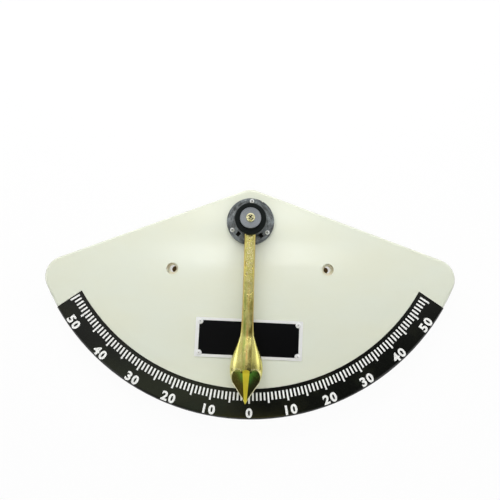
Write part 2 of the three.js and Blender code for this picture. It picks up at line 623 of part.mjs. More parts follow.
// One deep-groove ball bearing about z = middle: one race is fixed, and the rest swings.
function addBearing(name, middle) {
  const [ball, circle, halfWidth] = [BALL * HALF, BALL_CIRCLE * HALF, BEARING_WIDTH * HALF];
  const innerLand = circle - RACE_LAND_GAP;
  const outerLand = circle + RACE_LAND_GAP;
  const innerGroove = circle - ball - GROOVE_PLAY;
  const outerGroove = circle + ball + OUTER_GROOVE_PLAY;
  const [waistShare, shoulderShare] = [0.6, 0.25];
  const waist = GROOVE_MOUTH * waistShare;
  const innerWaist = innerGroove + (innerLand - innerGroove) * shoulderShare;
  const outerWaist = outerGroove - (outerGroove - outerLand) * shoulderShare;
  const groove = (land, side, bottom) => [
    [land, middle - GROOVE_MOUTH],
    [side, middle - waist],
    [bottom, middle],
    [side, middle + waist],
    [land, middle + GROOVE_MOUTH],
  ];
  const bore = SHAFT * HALF + FIT;
  const innerRace = [
    [bore, middle - halfWidth],
    [innerLand, middle - halfWidth],
    ...groove(innerLand, innerWaist, innerGroove),
    [innerLand, middle + halfWidth],
    [bore, middle + halfWidth],
  ];
  const outside = BEARING_OUTER * HALF;
  const outerRace = [
    [outerLand, middle - halfWidth],
    [outside, middle - halfWidth],
    [outside, middle + halfWidth],
    [outerLand, middle + halfWidth],
    ...groove(outerLand, outerWaist, outerGroove).reverse(),
  ];
  piece(`${name}_inner_race`, turned(innerRace, BEARING_SIDES), bearingSteel, pivot);
  piece(`${name}_outer_race`, turned(outerRace, BEARING_SIDES), bearingSteel, swinging);
  const shieldReach = halfWidth - SHIELD_RECESS;
  for (const [side, facing] of [['back', -1], ['front', 1]]) {
    const faces = [facing * shieldReach, facing * (shieldReach - SHIELD_THICKNESS)];
    const shield = ring(
      (outerLand - SHIELD_GAP) * 2, (innerLand + SHIELD_GAP) * 2,
      middle + Math.min(...faces), middle + Math.max(...faces), BEARING_SIDES,
    );
    piece(`${name}_${side}_shield`, shield, bearingSteel, swinging);
  }
  const cageEnd = ball + CAGE_PLAY + CAGE_RIM;
  let cage = toSolid(ring(
    circle * 2 + CAGE_WALL, circle * 2 - CAGE_WALL, middle - CAGE_SKIRT, middle + cageEnd, BEARING_SIDES,
  ));
  for (let i = 0; i < BALLS; i += 1) {
    const angle = (i * Math.PI * 2) / BALLS;
    const place = [circle * Math.cos(angle), circle * Math.sin(angle), middle];
    const pocket = new THREE.SphereGeometry(ball + CAGE_PLAY, SMALL_SIDES * HALF, SMALL_SIDES * HALF);
    cage = cage.subtract(toSolid(pocket.translate(...place)));
    const sphere = new THREE.SphereGeometry(ball, SMALL_SIDES * HALF, SMALL_SIDES * HALF - 2);
    piece(`${name}_ball_${i + 1}`, sphere.translate(...place), bearingSteel, swinging);
  }
  piece(`${name}_cage`, toGeometry(cage), cageBrass, swinging);
}

// Bearing housing: the black ring in front, and a neck behind it that fills the pendulum's eye.
function makeHousing() {
  const seat = BEARING_OUTER * HALF + FIT;
  const shoulder = BEARING_OUTER * HALF - HOUSING_SHOULDER;
  const [neck, ringRadius] = [HOUSING_NECK * HALF, HOUSING_RING * HALF];
  const rearSeat = REAR_BEARING_MID + BEARING_WIDTH * HALF;
  const frontSeat = FRONT_BEARING_MID - BEARING_WIDTH * HALF;
  return turned([
    [seat, ARM_BACK],
    [neck, ARM_BACK],
    [neck, RING_BACK],
    [ringRadius, RING_BACK],
    [ringRadius, RING_FRONT - HOUSING_EDGE],
    [ringRadius - HOUSING_EDGE * cornerShare, RING_FRONT - HOUSING_EDGE * cornerShare],
    [ringRadius - HOUSING_EDGE, RING_FRONT],
    [seat, RING_FRONT],
    [seat, frontSeat],
    [shoulder, frontSeat],
    [shoulder, rearSeat],
    [seat, rearSeat],
  ], FINE_SIDES);
}

// Half sections of the casting, from its middle line to its side: shares of half width and half thickness.
const armSectionShares = [[0, 1], [0.3, 1], [0.55, 1], [0.78, 1], [0.93, 0.82], [1, 0.55], [1, 0]];
const bobSectionShares = [
  [0, 1], [0.24, 0.985], [0.46, 0.85], [0.68, 0.6], [0.86, 0.36], [0.97, 0.16], [1, 0],
];

// The bob from its start to its shoulder: shares of that length, of its half width and half thickness.
const shoulderWidthShare = 0.82;
const [facetWidthShare, facetDepthShare] = [0.468, 0.84];
const bobFormShares = [
  [0, 0.373, 0.36],
  [0.123, 0.395, 0.365],
  [0.222, 0.436, 0.39],
  [0.272, 0.492, 0.43],
  [0.37, 0.615, 0.55],
  [0.469, 0.759, 0.72],
  [0.568, 0.886, 0.87],
  [0.667, 0.968, 0.96],
  [0.778, 1, 1],
  [0.914, 0.932, 1],
  [1, shoulderWidthShare, 0.97],
];

// One section of the casting as a ring of points, at a distance below the pivot.
function castingSection(distance, halfWidth, halfThickness, roundShare) {
  const quarter = armSectionShares.map(([x, z], i) => {
    const [roundX, roundZ] = bobSectionShares[i];
    return [x + (roundX - x) * roundShare, z + (roundZ - z) * roundShare];
  });
  const back = quarter.slice(0, -1).map(([x, z]) => [x, -z]);
  const right = [...quarter, ...back.slice().reverse()];
  const left = right.slice(1, -1).reverse().map(([x, z]) => [-x, z]);
  return [...right, ...left].reverse().map(([x, z]) => {
    return new THREE.Vector3(x * halfWidth, -distance, ARM_MID + z * halfThickness);
  });
}

// Pendulum: one brass casting of eye, flat arm and pear-shaped bob whose lower end is ground to a point.
function makePendulum() {
  const [armHalf, armDeep] = [ARM_WIDTH * HALF, ARM_THICKNESS * HALF];
  const [bobHalf, bobDeep] = [BOB_WIDTH * HALF, BOB_THICKNESS * HALF];
  const bobLength = SHOULDER_AT - BOB_START;
  const fullyRoundShare = 0.6;
  const form = new THREE.CatmullRomCurve3(bobFormShares.map((shares) => new THREE.Vector3(...shares)));
  const sections = [castingSection(ARM_START, armHalf, armDeep, 0)];
  for (let i = 0; i <= BOB_STEPS; i += 1) {
    const { x, y, z } = form.getPoint(i / BOB_STEPS);
    const roundShare = THREE.MathUtils.smoothstep(x, 0, fullyRoundShare);
    sections.push(castingSection(BOB_START + x * bobLength, y * bobHalf, z * bobDeep, roundShare));
  }
  sections.push(castingSection(NIB_AT, NIB_WIDTH * HALF, bobDeep * HALF, 1));
  sections.push(castingSection(PENDULUM_LENGTH, TIP_WIDTH * HALF, LOWER_EDGE * HALF, 1));
  let casting = toSolid(loft(sections));
  const eyeBore = HOUSING_NECK * HALF + FIT;
  const eyeFront = ARM_BACK + ARM_THICKNESS;
  casting = casting.add(toSolid(ring(EYE_DIAMETER, eyeBore * 2, ARM_BACK, eyeFront, FINE_SIDES)));
  // The ground point: a narrow ridge facet in the middle and a broad facet on each side, front and back.
  for (const face of [-1, 1]) {
    const at = (x, distance, z) => new THREE.Vector3(x, -distance, ARM_MID + face * z);
    const across = ARM_WIDTH * HALF;
    const cuts = [[
      at(-across, RIDGE_AT, bobDeep),
      at(across, RIDGE_AT, bobDeep),
      at(0, PENDULUM_LENGTH, RIDGE_END),
    ]];
    for (const side of [-1, 1]) {
      cuts.push([
        at(side * bobHalf * facetWidthShare, FACET_AT, bobDeep * facetDepthShare),
        at(side * NIB_WIDTH * HALF, NIB_AT, LOWER_EDGE * HALF),
        at(side * bobHalf * shoulderWidthShare, SHOULDER_AT, LOWER_EDGE * HALF),
      ]);
    }
    for (const points of cuts) {
      const [p, q, r] = points;
      const facing = q.clone().sub(p).cross(r.clone().sub(p)).z * face;
      const ordered = facing > 0 ? [p, q, r] : [p, r, q];
      casting = casting.subtract(toSolid(spaceInFront(...ordered, BOB_WIDTH * 2)));
    }
  }
  return toGeometry(casting);
}

piece('dial_board', makeBoard(), creamPlastic, inclinometer);
piece('scale_band', makeScaleBand(), blackFilm, inclinometer);

const nameplate = piece('nameplate', makeNameplate(), aluminium, inclinometer);
nameplate.rotation.z = PLATE_TURN;
nameplate.position.set(PLATE_SHIFT, PLATE_RISE, BOARD_DEPTH);
rivetPlaces().forEach(([x, y], i) => {
  piece(`nameplate_rivet_${i + 1}`, makeRivet(), rivetMetal, inclinometer).position.set(x, y, BOARD_DEPTH);
});

piece('hub_flange', makeFlange(), greyPlastic, pivot);
flangeScrewPlaces().forEach(([x, y], i) => {
  const screw = makeScrew(
    FLANGE_SCREW_HEAD, FLANGE_SCREW_HEAD_HEIGHT, FLANGE_SCREW_SHANK, FLANGE_SCREW_LENGTH, SMALL_SIDES,
  );
  piece(`flange_screw_${i + 1}`, toGeometry(screw), zincSteel, pivot).position.set(x, y, FLANGE_FACE);
});

piece('pivot_shaft', makeShaft(), turnedSteel, pivot);
const washerBack = -HUB_PAD_THICKNESS - NUT_WASHER_THICKNESS;
const shaftWasher = ring(NUT_WASHER, SHAFT + FIT * 2, washerBack, -HUB_PAD_THICKNESS, BEARING_SIDES);
piece('shaft_washer', shaftWasher, zincSteel, pivot);
piece('shaft_nut', makeNut(), zincSteel, pivot).position.z = washerBack;

addBearing('rear_bearing', REAR_BEARING_MID);
addBearing('front_bearing', FRONT_BEARING_MID);
const spacerFrom = REAR_BEARING_MID + BEARING_WIDTH * HALF;
const spacerTo = spacerFrom + BEARING_SPACING;
const spacerBore = SHAFT + FIT * 2;
const spacer = ring(spacerBore + SPACER_WALL * 2, spacerBore, spacerFrom, spacerTo, BEARING_SIDES);
piece('bearing_spacer', spacer, turnedSteel, pivot);

piece('bearing_housing', makeHousing(), blackPlastic, swinging);
piece('pendulum', makePendulum(), brass, swinging);

const washerEdge = RETAINING_WASHER * HALF;
piece('retaining_washer', turned([
  [RETAINING_SCREW * HALF + FIT, SHAFT_FRONT],
  [washerEdge, SHAFT_FRONT],
  [washerEdge, SHAFT_FRONT + RETAINING_WASHER_THICKNESS - RETAINING_WASHER_CHAMFER],
  [washerEdge - RETAINING_WASHER_CHAMFER, SHAFT_FRONT + RETAINING_WASHER_THICKNESS],
  [RETAINING_SCREW * HALF + FIT, SHAFT_FRONT + RETAINING_WASHER_THICKNESS],
]), turnedSteel, pivot);

const screwReach = RETAINING_SCREW_LENGTH + RETAINING_WASHER_THICKNESS - OVERRUN * HALF;
const retainingScrew = makeScrew(
  RETAINING_SCREW_HEAD, RETAINING_SCREW_HEAD_HEIGHT, RETAINING_SCREW, screwReach, FINE_SIDES * HALF,
).subtract(crossRecess(RECESS_REACH, RECESS_WIDTH, RETAINING_SCREW_HEAD_HEIGHT, RECESS_DEPTH));
const screwSeat = SHAFT_FRONT + RETAINING_WASHER_THICKNESS;
const screw = piece('retaining_screw', toGeometry(retainingScrew), brass, pivot);
screw.position.z = screwSeat;
screw.rotation.z = RECESS_TURN;

export default inclinometer;
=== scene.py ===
import math

import bmesh
import bpy
from bpy.props import FloatProperty, FloatVectorProperty, IntProperty, PointerProperty
from mathutils import Matrix, Vector


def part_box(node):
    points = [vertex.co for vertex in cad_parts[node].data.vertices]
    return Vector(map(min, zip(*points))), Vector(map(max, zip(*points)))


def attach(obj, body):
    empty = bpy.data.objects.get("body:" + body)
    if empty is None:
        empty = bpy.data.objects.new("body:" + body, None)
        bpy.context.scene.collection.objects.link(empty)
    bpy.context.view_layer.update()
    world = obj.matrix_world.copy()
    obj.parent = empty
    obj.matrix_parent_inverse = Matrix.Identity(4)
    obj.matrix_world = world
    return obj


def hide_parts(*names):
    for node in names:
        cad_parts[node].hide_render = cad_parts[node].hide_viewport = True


bl_info = {
    "name": "Pendulum inclinometer",
    "version": (1, 0, 0),
    "blender": (4, 5, 0),
    "location": "3D View > Sidebar > Inclinometer",
    "description": "Builds the looks of a wall-mounted pendulum inclinometer round its solids",
    "category": "Add Mesh",
}

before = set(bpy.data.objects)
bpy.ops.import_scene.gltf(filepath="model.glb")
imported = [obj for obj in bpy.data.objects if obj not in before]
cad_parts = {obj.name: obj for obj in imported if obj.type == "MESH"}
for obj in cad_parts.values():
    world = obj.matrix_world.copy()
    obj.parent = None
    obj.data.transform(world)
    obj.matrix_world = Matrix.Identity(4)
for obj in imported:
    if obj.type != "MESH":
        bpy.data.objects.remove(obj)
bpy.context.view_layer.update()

MM = 0.001
OUTWARD = Vector((0, -1, 0))
FULL_TURN = 2 * math.pi
QUARTER_TURN = math.pi / 2
ROUND_STEPS = 96
SMALL_STEPS = 40
SMOOTH_BELOW = math.radians(32)
CASTING_SMOOTH_BELOW = math.radians(16)
CUT_REACH = 0.0001 * MM
WELD_REACH = 0.001 * MM


def centre_of(node):
    """The middle of a node's box."""
    low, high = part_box(node)
    return (low + high) / 2


def span_out(node):
    """How far out of the wall a node's back and front stand, and its half width, in millimetres."""
    low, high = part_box(node)
    return -high.y / MM, -low.y / MM, (high.x - low.x) / 2 / MM


BOARD_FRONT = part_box("dial_board")[0].y
FILM_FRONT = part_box("scale_band")[0].y
PIVOT = centre_of("retaining_washer")
AXIS_FOOT = Vector((PIVOT.x, 0, PIVOT.z))

# The board's face, its skin behind the face and the flange's rim on it, in millimetres.
BOARD_OUT = -BOARD_FRONT / MM
BOARD_SKIN = 4
FLANGE_THICK = 6

# Three corners of a side facet of the ground point: aside, down from the pivot and out of the casting's
# middle plane, in millimetres.
FACET = ((10.3, 200.3, 10.5), (3.7, 241.8, 2), (18.04, 220.8, 2))

# The same for the broken edge along a side facet's outer side, and for the middle facet.
BROKEN_EDGE = ((17.05, 220.12, 2.57), (2.71, 241.12, 2.57), (18.04, 220.8, 1.68))
MIDDLE_FACET = ((-7.6, 200.8, 12.5), (7.6, 200.8, 12.5), (0, 247.8, 1.2))


class InclinometerDial(bpy.types.PropertyGroup):
    """Sizes and colours of the board, its printed scale and its nameplate."""

    board_colour: FloatVectorProperty(
        name="Board colour", description="Cream of the moulded board",
        default=(0.775, 0.81, 0.685), subtype="COLOR", min=0, max=1)
    film_colour: FloatVectorProperty(
        name="Film colour", description="Black of the printed scale film",
        default=(0.0042, 0.005, 0.0038), subtype="COLOR", min=0, max=1)
    print_colour: FloatVectorProperty(
        name="Print colour", description="White of the divisions and numerals",
        default=(0.95, 0.96, 0.93), subtype="COLOR", min=0, max=1)
    fixing_spacing: FloatProperty(
        name="Fixing spacing", description="Distance between the two fixing holes",
        default=0.2192, unit="LENGTH")
    arc_rise: FloatProperty(
        name="Arc rise", description="Height of the scale's centre above the fixing holes",
        default=0.1115, unit="LENGTH")
    step: FloatProperty(
        name="Division step", description="Angle between two divisions",
        default=math.radians(1.0525), subtype="ANGLE")
    shift: FloatProperty(
        name="Print shift", description="Turn of the printed scale to the viewer's right",
        default=math.radians(0.05), subtype="ANGLE")
    divisions: IntProperty(
        name="Divisions", description="Divisions on each side of zero", default=55)
    inner_radius: FloatProperty(
        name="Inner radius", description="Radius of the divisions' inner ends",
        default=0.2812, unit="LENGTH")
    short_length: FloatProperty(
        name="Short division", description="Length of a single division",
        default=0.0107, unit="LENGTH")
    long_length: FloatProperty(
        name="Long division", description="Length of every fifth division",
        default=0.0145, unit="LENGTH")
    division_width: FloatProperty(
        name="Division width", description="Width of a division", default=0.0024, unit="LENGTH")
    numeral_radius: FloatProperty(
        name="Numeral radius", description="Radius of the numerals' middles",
        default=0.3082, unit="LENGTH")
    numeral_height: FloatProperty(
        name="Numeral height", description="Height of a figure", default=0.0129, unit="LENGTH")
    numeral_width: FloatProperty(
        name="Numeral width", description="Width of the figure nought", default=0.009, unit="LENGTH")
    numeral_pitch: FloatProperty(
        name="Numeral pitch", description="Angle between the two figures of a numeral",
        default=math.radians(1.96), subtype="ANGLE")
    plate_turn: FloatProperty(
        name="Nameplate turn", description="Clockwise turn of the nameplate",
        default=math.radians(2.1), subtype="ANGLE")
    field_width: FloatProperty(
        name="Field width", description="Width of the nameplate's black field",
        default=0.139, unit="LENGTH")
    field_height: FloatProperty(
        name="Field height", description="Height of the nameplate's black field",
        default=0.0465, unit="LENGTH")


class InclinometerHub(bpy.types.PropertyGroup):
    """Sizes and colours of what stands at the pivot."""

    flange_colour: FloatVectorProperty(
        name="Flange colour", description="Grey-black of the moulded flange",
        default=(0.072, 0.084, 0.09), subtype="COLOR", min=0, max=1)
    ring_colour: FloatVectorProperty(
        name="Ring colour", description="Black of the bearing housing",
        default=(0.004, 0.007, 0.007), subtype="COLOR", min=0, max=1)
    washer_colour: FloatVectorProperty(
        name="Washer colour", description="Grey of the turned washer and shaft",
        default=(0.29, 0.31, 0.345), subtype="COLOR", min=0, max=1)
    recess_turn: FloatProperty(
        name="Recess turn", description="Turn of the cross recess in the middle screw",
        default=math.radians(40), subtype="ANGLE")


class InclinometerPendulum(bpy.types.PropertyGroup):
    """Sizes and colour of the brass casting."""

    brass_colour: FloatVectorProperty(
        name="Brass colour", description="Colour of the cast brass",
        default=(0.8, 0.735, 0.235), subtype="COLOR", min=0, max=1)
    lean: FloatProperty(
        name="Rest lean", description="Lean of the pendulum to the viewer's left",
        default=math.radians(1.15), subtype="ANGLE")
    eye_bore: FloatProperty(
        name="Eye bore", description="Radius of the hole for the bearing housing's neck",
        default=0.0156, unit="LENGTH")
    eye_radius: FloatProperty(
        name="Eye radius", description="Outer radius of the eye", default=0.0205, unit="LENGTH")
    eye_thickness: FloatProperty(
        name="Eye thickness", description="Thickness of the eye", default=0.009, unit="LENGTH")


class InclinometerStage(bpy.types.PropertyGroup):
    """Camera and light levels."""

    lens: FloatProperty(
        name="Lens", description="Focal length that gives the photograph's angle of view",
        default=30.96, min=1, unit="CAMERA")
    key_power: FloatProperty(
        name="Key light", description="Power of the large soft light",
        default=9.8, min=0, unit="POWER")
    top_power: FloatProperty(
        name="Top light", description="Power of the near light above the pivot",
        default=1.5, min=0, unit="POWER")
    fill_power: FloatProperty(
        name="Fill light", description="Power of the soft light on the right",
        default=4, min=0, unit="POWER")
    tubes: FloatProperty(
        name="Tubes", description="Level of the pair of tubes that glows in the board's gloss",
        default=4.6, min=0)
    ambient: FloatProperty(
        name="Ambient", description="Level of the light from all round",
        default=0.43, min=0, subtype="FACTOR")
    floor_colour: FloatVectorProperty(
        name="Floor colour", description="Pale floor and wall", default=(0.9, 0.9, 0.9),
        subtype="COLOR", min=0, max=1)


class Term:
    """A socket of a shader tree that takes Python's operators."""

    def __init__(self, shading, socket):
        self.shading = shading
        self.socket = socket

    def _apply(self, operation, first, second=None):
        inputs = {0: first} if second is None else {0: first, 1: second}
        return self.shading.node("ShaderNodeMath", {"operation": operation}, inputs)

    def __add__(self, other):
        return self._apply("ADD", self, other)

    def __radd__(self, other):
        return self._apply("ADD", other, self)

    def __sub__(self, other):
        return self._apply("SUBTRACT", self, other)

    def __rsub__(self, other):
        return self._apply("SUBTRACT", other, self)

    def __mul__(self, other):
        return self._apply("MULTIPLY", self, other)

    def __rmul__(self, other):
        return self._apply("MULTIPLY", other, self)

    def __truediv__(self, other):
        return self._apply("DIVIDE", self, other)

    def __rtruediv__(self, other):
        return self._apply("DIVIDE", other, self)

    def __pow__(self, other):
        return self._apply("POWER", self, other)

    def __lt__(self, other):
        return self._apply("LESS_THAN", self, other)

    def __gt__(self, other):
        return self._apply("GREATER_THAN", self, other)

    def __abs__(self):
        return self._apply("ABSOLUTE", self)


class Shading:
    """A shader tree that is written as expressions."""

    def __init__(self, tree):
        self.tree = tree
        self._object = None

    def feed(self, socket, value):
        """Links a term to a socket, or sets the socket to a number, a colour or a vector."""
        if isinstance(value, Term):
            self.tree.links.new(value.socket, socket)
        elif isinstance(value, (tuple, list, Vector)):
            wide = len(socket.default_value)
            socket.default_value = (*value, 1)[:wide]
        else:
            socket.default_value = value

    def node(self, kind, settings=None, inputs=None, output=0):
        """Makes a node, sets it, feeds its sockets and gives one output, or each that a tuple names."""
        node = self.tree.nodes.new(kind)
        for key, value in (settings or {}).items():
            setattr(node, key, value)
        for key, value in (inputs or {}).items():
            self.feed(node.inputs[key], value)
        if isinstance(output, tuple):
            return [Term(self, node.outputs[key]) for key in output]
        return Term(self, node.outputs[output])

    def place(self, centre=(0, 0, 0), stretch=(1, 1, 1)):
        """Object coordinates about a centre, stretched along each axis."""
        if self._object is None:
            self._object = self.node("ShaderNodeTexCoord", output="Object")
        offset = self.node("ShaderNodeVectorMath", {"operation": "SUBTRACT"}, {0: self._object, 1: centre})
        return self.node("ShaderNodeVectorMath", {"operation": "MULTIPLY"}, {0: offset, 1: stretch})

    def axes(self, vector):
        """The three numbers of a vector."""
        return self.node("ShaderNodeSeparateXYZ", inputs={0: vector}, output=(0, 1, 2))

    def noise(self, vector, scale, detail=2.0, roughness=0.5):
        """Even noise from 0 to 1."""
        return self.node("ShaderNodeTexNoise", inputs={
            "Vector": vector, "Scale": scale, "Detail": detail, "Roughness": roughness})

    def span(self, value, low, high, to_low=0.0, to_high=1.0):
        """Moves a value from one range to another and holds it there."""
        return self.node("ShaderNodeMapRange", {"clamp": True}, {
            "Value": value, "From Min": low, "From Max": high, "To Min": to_low, "To Max": to_high})

    def stripe(self, value, start, full, fade, end):
        """1 between full and fade, running out to 0 at start and end."""
        return self.span(value, start, full) * self.span(value, fade, end, 1, 0)

    def mix(self, share, first, second):
        """A colour between two colours."""
        return self.node("ShaderNodeMix", {"data_type": "RGBA"}, {0: share, 6: first, 7: second}, output=2)

    def bump(self, height, depth, strength=1.0):
        """A normal from a height."""
        return self.node("ShaderNodeBump", inputs={
            "Height": height, "Distance": depth, "Strength": strength})

    def seen(self):
        """1 for rays from the camera, off a gloss or through a clear piece, and 0 for the others."""
        camera, glossy, through = self.node(
            "ShaderNodeLightPath", output=("Is Camera Ray", "Is Glossy Ray", "Is Transmission Ray"))
        return camera + glossy + through


class Finish(Shading):
    """A material's shader tree round its Principled shader."""

    def __init__(self, name, **principled):
        self.material = bpy.data.materials.new(name)
        self.material.use_nodes = True
        super().__init__(self.material.node_tree)
        self.shader = self.tree.nodes["Principled BSDF"]
        self.set(**principled)

    def set(self, **principled):
        """Sets or links the shader's own sockets, named with underscores for spaces."""
        for key, value in principled.items():
            self.feed(self.shader.inputs[key.replace("_", " ")], value)


def cream_plastic(settings):
    """Glossy cream moulding with a faint flow in its surface and a painted warm tan of bounced light, in
    patches, in its fixing holes.
    """
    finish = Finish("cream plastic", Coat_Weight=0.9, Coat_Roughness=0.09, IOR=1.5)
    colour = tuple(settings.board_colour)
    warm = tuple(value * tint for value, tint in zip(colour, (1, 0.985, 0.95)))
    # Painted light: a warm tan of bounced light inside the fixing holes.
    painted_bounce_tan = (0.8, 0.72, 0.52)
    counterbore, sunk_below = 9 * MM, 0.3 * MM
    across, out, up = finish.axes(finish.place())
    aside = abs(across) - settings.fixing_spacing / 2
    hole = ((aside * aside + up * up) < counterbore ** 2) * (out > BOARD_FRONT + sunk_below)
    flow = finish.noise(finish.place(stretch=(1, 1, 2.2)), 9, 3)
    speck = finish.noise(finish.place(), 900, 1)
    bounce_patchiness = finish.noise(finish.place(), 180, 2)
    waves = finish.noise(finish.place(stretch=(1, 1, 1.6)), 26, 2)
    face = finish.mix(finish.span(flow, 0.35, 0.65), colour, warm)
    finish.set(
        Base_Color=finish.mix(hole * finish.span(bounce_patchiness, 0.35, 0.6, 0.15, 0.9), face, painted_bounce_tan),
        Roughness=finish.span(flow, 0.3, 0.7, 0.17, 0.25) + finish.span(speck, 0.4, 0.8, 0, 0.02),
        Normal=finish.bump(waves, 0.6 * MM, 0.5))
    return finish.material


def black_film(settings):
    """Glossy black film, a little uneven where it is stuck down and worn in patches."""
    finish = Finish("black film", IOR=1.48)
    ripple = finish.noise(finish.place(), 45, 3)
    smear = finish.noise(finish.place(), 14, 4, 0.6)
    tint = finish.noise(finish.place((0.4, 0, 0.2)), 7, 3)
    worn = finish.mix(finish.span(tint, 0.45, 0.6), (0.02, 0.022, 0.008), (0.008, 0.02, 0.014))
    finish.set(
        Base_Color=finish.mix(finish.span(smear, 0.5, 0.75, 0, 0.8), tuple(settings.film_colour), worn),
        Roughness=finish.span(smear, 0.35, 0.75, 0.13, 0.3),
        Normal=finish.bump(ripple, 0.25 * MM, 0.5))
    return finish.material


def white_print(settings):
    """White ink."""
    finish = Finish("white print", Base_Color=tuple(settings.print_colour))
    ink = finish.noise(finish.place(), 300, 2)
    finish.set(Roughness=finish.span(ink, 0.3, 0.7, 0.3, 0.42))
    return finish.material


def plate_metal():
    """Satin aluminium with fine strokes along the nameplate."""
    finish = Finish("nameplate aluminium", Base_Color=(0.95, 0.955, 0.97), Metallic=0.5)
    strokes = finish.noise(finish.place(stretch=(30, 30, 1400)), 1, 2)
    finish.set(
        Roughness=finish.span(strokes, 0.3, 0.7, 0.42, 0.56),
        Normal=finish.bump(strokes, 0.02 * MM, 0.4))
    return finish.material


def black_enamel():
    """Even black enamel."""
    finish = Finish("black enamel", Base_Color=(0.0012, 0.0013, 0.0022), Specular_IOR_Level=0.12)
    pitting = finish.noise(finish.place(), 500, 2)
    finish.set(Roughness=finish.span(pitting, 0.3, 0.7, 0.28, 0.36))
    return finish.material


def bright_metal(name, colour, smooth, rough, metallic=1.0):
    """Plain plated or pressed metal with a fine grain, between two roughnesses."""
    finish = Finish(name, Base_Color=colour, Metallic=metallic)
    grain = 700
    fine = finish.noise(finish.place(), grain, 3)
    broad = finish.noise(finish.place(), grain / 9, 2)
    finish.set(
        Roughness=finish.span(fine * 0.6 + broad * 0.4, 0.35, 0.65, smooth, rough),
        Normal=finish.bump(fine, 0.02 * MM, 0.35))
    return finish.material


def flange_plastic(settings):
    """Glossy grey-black moulding with flow marks and scratches, painted pale in arcs and lines that stand
    in for its reflections, dull and with painted shade in its pockets.
    """
    finish = Finish("flange plastic", IOR=1.5, Coat_Roughness=0.12)
    colour = tuple(settings.flange_colour)
    dark, pale = (tuple(value * share for value in colour) for share in (0.4, 2.5))
    scratch_highlight, painted_pocket_shade = (0.4, 0.43, 0.43), (0.001, 0.001, 0.001)
    face_radius, swirl_radius = 30.5 * MM, 7 * MM
    pocket_lip, pocket_floor = 5.6 * MM, 4.8 * MM
    across, out, up = finish.axes(finish.place((PIVOT.x, BOARD_FRONT, PIVOT.z)))
    radius = (across * across + up * up) ** 0.5
    pocket = finish.span(out, -pocket_lip, -pocket_floor) * (radius < face_radius)
    flow = finish.noise(finish.place(PIVOT, (1, 1, 1.4)), 60, 4, 0.6)
    scuff = finish.noise(finish.place(PIVOT, (1, 1, 0.3)), 420, 3, 0.7)
    round_the_hub = finish.node("ShaderNodeCombineXYZ", inputs={
        "X": across / radius * swirl_radius, "Y": up / radius * swirl_radius, "Z": radius})
    arcs = finish.noise(round_the_hub, 330, 3, 0.6)
    scratches = finish.span(finish.noise(round_the_hub, 900, 2), 0.62, 0.68) * finish.span(flow, 0.45, 0.6)
    # Painted reflections: flow marks and arcs round the hub run to a pale tone, and scratch lines are
    # painted as pale highlights.
    face = finish.mix(finish.span(flow * 0.45 + arcs * 0.55, 0.4, 0.62), dark, pale)
    face = finish.mix(scratches, face, scratch_highlight)
    worn = finish.span(flow, 0.3, 0.7, 0.2, 0.34) + finish.span(scuff, 0.55, 0.75, 0, 0.15)
    finish.set(
        # Painted shade, near black, on the pockets' floors.
        Base_Color=finish.mix(pocket, face, painted_pocket_shade),
        Coat_Weight=0.4 - pocket * 0.4,
        Roughness=worn + pocket * 0.6,
        Normal=finish.bump(flow, 0.35 * MM, 0.5))
    return finish.material


def housing_plastic(settings):
    """Dull black moulding."""
    finish = Finish(
        "housing plastic", Base_Color=tuple(settings.ring_colour), IOR=1.45, Specular_IOR_Level=0.22)
    grain = finish.noise(finish.place(), 850, 3)
    finish.set(
        Roughness=finish.span(grain, 0.3, 0.7, 0.5, 0.64),
        Normal=finish.bump(grain, 0.04 * MM, 0.5))
    return finish.material


def turned_metal(name, colour):
    """Metal with the fine rings of a lathe tool about the pivot."""
    finish = Finish(name, Base_Color=tuple(colour), Metallic=1.0)
    across, _, up = finish.axes(finish.place(PIVOT))
    radius = (across * across + up * up) ** 0.5
    rings = finish.node("ShaderNodeTexNoise", {"noise_dimensions": "1D"}, {
        "W": radius, "Scale": 2600.0, "Detail": 2.0})
    cloud = finish.noise(finish.place(), 160, 2)
    finish.set(
        Roughness=finish.span(rings * 0.7 + cloud * 0.3, 0.3, 0.7, 0.26, 0.42),
        Normal=finish.bump(rings, 0.03 * MM, 0.5))
    return finish.material


def painted_facet_highlight(finish, off_centre, down, depth):
    """A painted highlight: a bright line along the outer side of the ground point's side facets."""
    line_width, line_fade, facet_gap = 0.85 * MM, 0.13 * MM, 0.01 * MM
    ridge_slope, ridge_offset = 0.068, 19.7 * MM
    first, second, third = (Vector(corner) * MM for corner in FACET)
    facing = (third - first).cross(second - first).normalized()
    if facing.z < 0:
        facing.negate()
    below = off_centre * facing.x + down * facing.y + abs(depth) * facing.z - facing.dot(first)
    line = finish.stripe(below, -line_width, line_fade - line_width, -3 * facet_gap, -facet_gap)
    beyond_ridge = off_centre + ridge_slope * down > ridge_offset
    return line * beyond_ridge * finish.span(down, 204 * MM, 222 * MM, 0.25, 1) * (down > 200 * MM)


